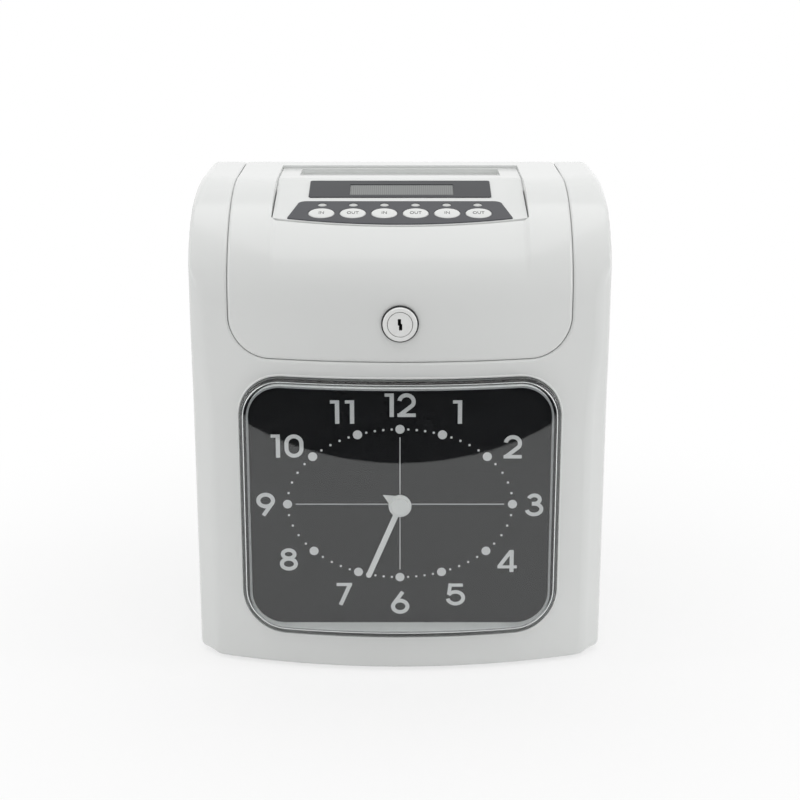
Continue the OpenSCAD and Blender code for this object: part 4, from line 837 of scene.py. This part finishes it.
def ring_piece(name, loops):
    """Closed ring through loops of points in mm."""
    bm = bmesh.new()
    rings = [[bm.verts.new(Vector(spot)*MM) for spot in loop] for loop in loops]
    for near, far in zip(rings, rings[1:] + rings[:1]):
        wall(bm, near, far)
    bmesh.ops.recalc_face_normals(bm, faces=bm.faces)
    return stand(name, take_mesh(bm, name, ROUND_CRISP))


RING_OUT, RING_IN, RING_DROP, RING_GAP, SHADED_FACING = 4.0, 5.0, 1.9, 0.6, -0.7
ring_front_shade = finish("ring_front_shade", (0.30, 0.305, 0.31), 0.4, mottle=0.03, grain=0.05)
behind = LENS_R - LENS_WALL - RING_GAP
ring_section = ((RING_OUT, 0, behind), (RING_IN, 0, behind), (RING_IN, DIAL_Y, None),
                (RING_OUT, DIAL_Y, None))
rim = ring_piece("dial_frame", [lens_loop(*spot, RING_DROP) for spot in ring_section])
fit(rim, "case", "inner_plastic", satin_white)
# Faces that look to the front get a darker grey: painted shade for the dark line round the dial.
rim.data.materials.append(ring_front_shade)
for face in rim.data.polygons:
    if face.normal.y < SHADED_FACING:
        face.material_index = 1

BEAD_MID, BEAD_HALF, BEAD_HEIGHT, BEAD_ROOT = 0.65, 0.55, 0.5, -0.4
bead_section = [(BEAD_MID - BEAD_HALF*math.cos(a), BEAD_HEIGHT*math.sin(a))
                for a in (math.pi*i/8 for i in range(9))]
bead_section += [(BEAD_MID + BEAD_HALF, BEAD_ROOT), (BEAD_MID - BEAD_HALF, BEAD_ROOT)]
bead = ring_piece("lens_bead", [lens_loop(-out, SKIN - height, FRONT_R)
                                for out, height in bead_section])
fit(bead, "case", "white_shell", gloss_white)

# Inner screws: small pan head screws of the dial's backing, the lock's strike and the chassis.
# They are the same zinc-plated screws as outside, driven into the moulded bosses and the base.
INNER_SEAT_Y, BACKING_SCREW_RISE = -51.7, 58
STRIKE_SCREW_X, STRIKE_SCREW_Z = 8, 167.4
CHASSIS_SCREW_X, CHASSIS_SCREW_YS, CHASSIS_SEAT_Z = 58, (2.5, 52.5), 8
backing_seats = [(s*HOLE_X, INNER_SEAT_Y, DIAL_Z + t*BACKING_SCREW_RISE)
                 for s in SIDES for t in SIDES]
strike_seats = [(s*STRIKE_SCREW_X, INNER_SEAT_Y, STRIKE_SCREW_Z) for s in SIDES]
chassis_seats = [(s*CHASSIS_SCREW_X, y, CHASSIS_SEAT_Z) for s in SIDES for y in CHASSIS_SCREW_YS]
inner_screws = join("inner_screw_set",
                    screw_set("backing_seats", backing_seats, TO_REAR, SCREW_R, 5.3),
                    screw_set("strike_seats", strike_seats, TO_REAR, SCREW_R/2, 6.8),
                    screw_set("chassis_seats", chassis_seats, UP, SCREW_R, 4.5))
fit(inner_screws, "case", "zinc_steel", zinc_steel, "inner_screws")

# Control panel: the sloping white panel in the cover's window, with the level lip and mouth of
# the card slot. It is moulded in the shell's plastic and stands on the chassis, with the funnel
# under the slot and a low bead along the rear of each side edge.
soften("control_panel", gloss_white, "white_shell", 0.45)
soften("card_funnel", satin_white, "white_shell", 0.4)
EDGE_BEAD_X, EDGE_BEAD_SINK = (65.52, 65.9), (2, 0.3)
PANEL_TOP_LINE = ((-1.0, 246.58), (16.5, 250.2), (53.5, 250.2))


def edge_bead(side):
    """Bead in the gap beside the cover's window, on that side, along the panel's top line."""
    bm = bmesh.new()
    (inner, outer), (low, high) = EDGE_BEAD_X, EDGE_BEAD_SINK
    section = ((inner, low), (outer, low), (outer, high), (inner, high))
    rings = [[bm.verts.new((side*x*MM, y*MM, (top - sink)*MM)) for x, sink in section]
             for y, top in PANEL_TOP_LINE]
    for near, far in zip(rings, rings[1:]):
        wall(bm, near, far)
    bm.faces.new(rings[0])
    bm.faces.new(rings[-1])
    bmesh.ops.recalc_face_normals(bm, faces=bm.faces)
    return stand("bead", take_mesh(bm, "panel_bead"))


beads = join("panel_beads", edge_bead(-1), edge_bead(1))
fit(beads, "case", "white_shell", gloss_white)

# Overlay and display strip: printed dark grey film on the panel, with the display in the strip.
# The film has a fine pebbled texture, and the display is a grey reflective liquid crystal module.
overlay_grey = finish("overlay_grey", (0.064, 0.066, 0.074), 0.42, mottle=0.03, grain=0.22,
                      grain_scale=1400)
strip_grey = finish("strip_grey", (0.022, 0.024, 0.029), 0.30, mottle=0.03, grain=0.08,
                    grain_scale=1400)
soften("keypad_overlay", overlay_grey, "panel_grey", 0.12)
soften("lcd_bezel", strip_grey, "panel_grey", 0.12)


def display_look(name, ground, column, pitch):
    """Display glass with the fine upright columns of its liquid crystal, that many mm apart."""
    made = finish(name, ground, 0.16, mottle=0.05, mottle_scale=30, grain=0.0)
    tree = made.node_tree
    columns = tree.nodes.new("ShaderNodeTexWave")
    columns.wave_type, columns.bands_direction = "BANDS", "X"
    tune(columns, {"Scale": math.pi/(0.01*pitch)})
    tree.links.new(tree.nodes["Mapping"].outputs["Vector"], columns.inputs["Vector"])
    return overprint(made, columns.outputs["Fac"], column)


display_grey = display_look("display_grey", (0.225, 0.234, 0.23), (0.175, 0.182, 0.178), 1.1)
for look in (overlay_grey, strip_grey, display_grey):
    tune(shader_of(look), {"Specular IOR Level": 0.2})
soften("lcd_module", display_grey, "display_glass", 0.1)

# Lamps and keys: six milky indicator lamps and six round keys with a softly domed cap.
# The keys are white mouldings with a flange under the panel and a stem down to their switch.
PANEL_TILT, KEYS, KEY_PITCH, KEY_V, LAMP_V = 11.7002, 6, 16.2, 15.7, 27.7
PANEL = (Matrix.Translation((0, -0.0511, 0.2362)) @
         Matrix.Rotation(math.radians(PANEL_TILT), 4, "X"))
LAMP_R, LAMP_STEM_R, LAMP_AROUND = 2.3, 1.7, 28
KEY_R, KEY_FLANGE_R, KEY_STEM_R, KEY_AROUND = 6.7, 7.6, 2, 56
WORD_HEIGHT, WORD_NARROW, WORD_THICK = 3.4, 0.6, 0.3


def turned(name, line, around):
    """Turned mesh about Z through (radius, height) points in mm, as closed as its line is."""
    bm = bmesh.new()
    rings = [hoop(bm, r*MM, h*MM, around) if r else [bm.verts.new((0, 0, h*MM))] for r, h in line]
    for low, high in zip(rings, rings[1:]):
        wall(bm, low, high)
    bmesh.ops.remove_doubles(bm, verts=bm.verts, dist=1e-7)
    bmesh.ops.recalc_face_normals(bm, faces=bm.faces)
    return take_mesh(bm, name, ROUND_CRISP)


def bend(r, top, edge, dome):
    """Profile of a cap's top from the middle out: a low dome that runs into a rounded edge."""
    flat = [(0, top)] + [(t*(r - edge), top - dome*t*t) for t in (0.25, 0.5, 0.75, 1)]
    return flat + [(r - edge*(1 - math.sin(a)), top - dome - edge*(1 - math.cos(a)))
                   for a in (math.pi/2*i/5 for i in range(1, 6))]


def moved(mesh, to):
    """The mesh, moved from the origin to that place."""
    mesh.transform(to)
    return mesh


def on_panel(i, v):
    """Place of key or lamp i in the row that far up the panel."""
    return PANEL @ Matrix.Translation(((i - (KEYS - 1)/2)*KEY_PITCH*MM, v*MM, 0))


lamp_white = finish("lamp_white", (0.60, 0.61, 0.60), 0.28, mottle=0.02, grain=0.03)
lamp_line = bend(LAMP_R, 0.4, 0.3, 0.08)
lamp_line += [(LAMP_R, -3.5), (LAMP_STEM_R, -3.5), (LAMP_STEM_R, -9.4), (0, -9.4)]
lamps = [stand("lamp", moved(turned("lamp", lamp_line, LAMP_AROUND), on_panel(i, LAMP_V)))
         for i in range(KEYS)]
fit(join("indicator_lamps", *lamps), "case", "lamp_white", lamp_white, "indicator_leds")


def lettering(words, height, narrow, thick):
    """Mesh of a word about the origin: X across, Y up, Z out, its narrowed capitals in mm."""
    text = bpy.data.curves.new(words, "FONT")
    text.body, text.size, text.resolution_u = words, 1.0, 6
    text.align_x = "CENTER"
    text.extrude = 0.5
    obj = stand("lettering", text)
    dg = bpy.context.evaluated_depsgraph_get()
    mesh = bpy.data.meshes.new_from_object(obj.evaluated_get(dg))
    bpy.data.objects.remove(obj)
    p = layer(mesh.vertices, "co", 3)
    low, high = p.min(0), p.max(0)
    scale = height*MM/(high[1] - low[1])
    p = (p - (low + high)/2)*(scale*narrow, scale, thick*MM) + (0, 0, thick*MM/2)
    mesh.vertices.foreach_set("co", p.ravel())
    bm = bmesh.new()
    bm.from_mesh(mesh)
    bmesh.ops.remove_doubles(bm, verts=bm.verts, dist=1e-6)
    return take_mesh(bm, words)


key_white = finish("key_white", (0.79, 0.80, 0.79), 0.30, mottle=0.012, grain=0.05)
key_print = finish("key_print", (0.05, 0.052, 0.055), 0.5, mottle=0.03, grain=0.05)
key_line = bend(KEY_R, 0.95, 0.6, 0.25)
key_line += [(KEY_R, -2.7), (KEY_FLANGE_R, -2.7), (KEY_FLANGE_R, -3.5), (KEY_STEM_R, -3.5),
             (KEY_STEM_R, -5.1), (0, -5.1)]
on_cap = Matrix.Translation((0, -0.0004, 0.0007))
for i in range(KEYS):
    seat, number = on_panel(i, KEY_V), i + 1
    key = stand("key_cap_%d" % number, moved(turned("key", key_line, KEY_AROUND), seat))
    fit(key, "key_%d" % number, "key_white", key_white, "button_%d" % number)
    word = lettering("OUT" if i % 2 else "IN", WORD_HEIGHT, WORD_NARROW, WORD_THICK)
    word = stand("key_word_%d" % number, moved(word, seat @ on_cap))
    fit(word, "key_%d" % number, "panel_grey", key_print)

# Top cover: the white lid over the top front, in the same gloss plastic as the housing.
# It hinges on two pins at the rear edge, and its window leaves the panel free.
cover = mould_outside("top_cover_shell", loose_copy("top_cover"))
polish_outside(cover)
fit(cover, "cover", "white_shell", gloss_white, "top_cover")
soften("hinge_brackets", zinc_steel, "zinc_steel", 0.3)
soften("hinge_pins", zinc_steel, "zinc_steel", 0.3)

# Cam lock: a satin nickel-plated lock in the cover's front, on a thin black ring that is painted
# shade for the gap round it, and held by a nut behind. The plug turns in the body and swings the
# cam behind the strike on the housing.
LOCK_Z, LOCK_AROUND = 190.0, 72
BORE_R, BARREL_R, BARREL_END, FACE_R, FACE_SOFT, FACE_BACK = 6.45, 7.9, -19, 8.75, 0.75, 1.0
SHADE_RING_IN, SHADE_RING_OUT = 7.95, 9.5
KEYWAY_FRONT, KEYWAY_END, KEYWAY_HALF_W, KEYWAY_HALF_H = -74.4, -67, 1.4, 3.2
to_front = (Matrix.Translation((0, FRONT_Y*MM, LOCK_Z*MM)) @
            Matrix.Rotation(math.pi/2, 4, "X"))
lock_satin = finish("lock_satin", (0.80, 0.805, 0.795), 0.34, metal=0.3, mottle=0.03,
                    mottle_scale=240, grain=0.06)
lock_line = [(BORE_R, 2.05), (6.7, 2.35)]
lock_line += [(FACE_R - FACE_SOFT + FACE_SOFT*math.sin(a), 1.65 + FACE_SOFT*math.cos(a))
              for a in (math.pi/2*i/6 for i in range(7))]
lock_line += [(FACE_R, FACE_BACK), (BARREL_R, FACE_BACK), (BARREL_R, BARREL_END),
              (BORE_R, BARREL_END), (BORE_R, 2.05)]
lock = stand("lock_body_piece", moved(turned("lock", lock_line, LOCK_AROUND), to_front))
fit(lock, "cover", "lock_metal", lock_satin, "lock_body")
# The black ring under the lock's face is painted shade for the dark gap round the lock.
shade_ring_line = [(SHADE_RING_IN, FACE_BACK), (9.2, FACE_BACK), (9.45, 0.85), (SHADE_RING_OUT, 0.6),
               (SHADE_RING_OUT, 0), (SHADE_RING_IN, 0), (SHADE_RING_IN, FACE_BACK)]
shade_ring = stand("lock_gasket", moved(turned("shade_ring", shade_ring_line, LOCK_AROUND), to_front))
fit(shade_ring, "cover", "roller_rubber", rubber_and_shade_black)
plug = soften("lock_plug", lock_satin, "lock_metal", 0.2)
# The keyway's inner faces take the black: painted shade in the recess.
plug.data.materials.append(rubber_and_shade_black)
for face in plug.data.polygons:
    spot = face.center*1000
    in_keyway_shade = abs(spot.x) < KEYWAY_HALF_W and abs(spot.z - LOCK_Z) < KEYWAY_HALF_H
    if in_keyway_shade and KEYWAY_FRONT < spot.y < KEYWAY_END:
        face.material_index = 1
soften("lock_nut", zinc_steel, "zinc_steel", 0.4)
soften("lock_cam", zinc_steel, "zinc_steel", 0.3)
soften("lock_strike", zinc_steel, "zinc_steel", 0.25)

# Rear cover and power inlet: a white moulded back with vents and two keyholes for hanging on a
# wall. It is screwed to the housing's bosses, and the black inlet for the low-voltage plug sits
# in its corner.
soften("rear_cover", satin_white, "white_shell", 0.3)
soften("power_inlet", black_plastic, "black_plastic", 0.4)

# Studio: a pale floor, soft lamps and the camera at the photograph's angle. A dark card lies
# on the floor in front, outside the picture, and shows only in the lens's sharp reflection.
scene = bpy.context.scene
scene.view_settings.view_transform = "Standard"
FLOOR_HALF, CARD_HALF, CARD_FRONT, CARD_BACK, CARD_LIFT = 4, 1.5, -0.8, -0.43, 0.002
FADE_START, FADE_END, FADE_LEAST = 0.12, 0.42, 0.7


def flat_sheet(name, half, front, back, height, look):
    """A flat rectangle in metres."""
    mesh = bpy.data.meshes.new(name)
    corners = ((-half, front), (half, front), (half, back), (-half, back))
    mesh.from_pydata([(x, y, height) for x, y in corners], [], [(0, 1, 2, 3)])
    mesh.materials.append(look)
    return stand(name, mesh)


def blend_shaders(tree, share, one, other, out):
    """Shows one shader or the other, by the share that a socket gives."""
    blend = tree.nodes.new("ShaderNodeMixShader")
    for k, socket in enumerate((share, one, other)):
        tree.links.new(socket, blend.inputs[k])
    tree.links.new(blend.outputs["Shader"], tree.nodes[out].inputs["Surface"])


paper = bpy.data.materials.new("studio_paper")
paper.use_nodes = True
tree = paper.node_tree
tune(shader_of(paper), {"Base Color": (0.93, 0.93, 0.93, 1), "Roughness": 0.9})
glow = tree.nodes.new("ShaderNodeEmission")
place = tree.nodes.new("ShaderNodeTexCoord")
away = tree.nodes.new("ShaderNodeVectorMath")
away.operation = "LENGTH"
tree.links.new(place.outputs["Object"], away.inputs[0])
fade = tree.nodes.new("ShaderNodeMapRange")
fade.interpolation_type = "SMOOTHSTEP"
tune(fade, {"From Min": FADE_START, "From Max": FADE_END, "To Min": FADE_LEAST})
tree.links.new(away.outputs["Value"], fade.inputs["Value"])
ray = tree.nodes.new("ShaderNodeLightPath").outputs
seen = calc(tree, "MAXIMUM", ray["Is Camera Ray"], ray["Is Glossy Ray"])
share = calc(tree, "MULTIPLY", fade.outputs["Result"], seen)
blend_shaders(tree, share, shader_of(paper).outputs["BSDF"], glow.outputs["Emission"],
              "Material Output")
floor = flat_sheet("studio_floor", FLOOR_HALF, -FLOOR_HALF, FLOOR_HALF, 0, paper)

felt = bpy.data.materials.new("dark_felt")
felt.use_nodes = True
tree = felt.node_tree
tune(shader_of(felt), {"Base Color": (0.01, 0.01, 0.012, 1), "Roughness": 1.0,
                       "Specular IOR Level": 0.0})
ray = tree.nodes.new("ShaderNodeLightPath").outputs
gone = tree.nodes.new("ShaderNodeBsdfTransparent")
blend_shaders(tree, ray["Is Singular Ray"], gone.outputs["BSDF"],
              shader_of(felt).outputs["BSDF"], "Material Output")
card = flat_sheet("dark_card", CARD_HALF, CARD_FRONT, CARD_BACK, CARD_LIFT, felt)
card.visible_camera = card.visible_diffuse = card.visible_shadow = False

world = bpy.data.worlds.new("studio_air")
scene.world = world
world.use_nodes = True
tree = world.node_tree
air, white = tree.nodes["Background"], tree.nodes.new("ShaderNodeBackground")
tune(air, {"Color": (0.985, 0.985, 0.98, 1), "Strength": 0.50})
tune(white, {"Color": (1, 1, 1, 1)})
ray = tree.nodes.new("ShaderNodeLightPath").outputs
seen = calc(tree, "MAXIMUM", ray["Is Camera Ray"], ray["Is Transmission Ray"])
seen = calc(tree, "MAXIMUM", seen, ray["Is Glossy Ray"])
blend_shaders(tree, seen, air.outputs["Background"], white.outputs["Background"], "World Output")


def aim(name, data, place, at):
    """Puts a lamp or a camera at a place, looking at another."""
    obj = stand(name, data)
    obj.location = place
    obj.rotation_euler = (Vector(at) - obj.location).to_track_quat("-Z", "Y").to_euler()
    return obj


LAMPS_AT = (0, 0, 0.15)


def softbox(name, place, width, height, power):
    """A rectangular soft lamp that looks at the middle of the case."""
    lamp = bpy.data.lights.new(name, "AREA")
    lamp.shape, lamp.size, lamp.size_y, lamp.energy = "RECTANGLE", width, height, power
    aim(name, lamp, place, LAMPS_AT)


softbox("top_box", (0, -0.05, 1.5), 1.6, 1.6, 9.4)
softbox("right_box", (1.4, -0.15, 0.6), 0.3, 1.2, 4.3)
softbox("left_box", (-1.4, -0.15, 0.6), 0.3, 1.2, 3.0)

CAMERA_PLACE, CAMERA_AT = (0.0, -0.8888, 0.3843), (0, -0.0717, 0.15)
view = bpy.data.cameras.new("photo_view")
view.lens, view.sensor_width = 75.1, 36
scene.camera = aim("photo_view", view, CAMERA_PLACE, CAMERA_AT)
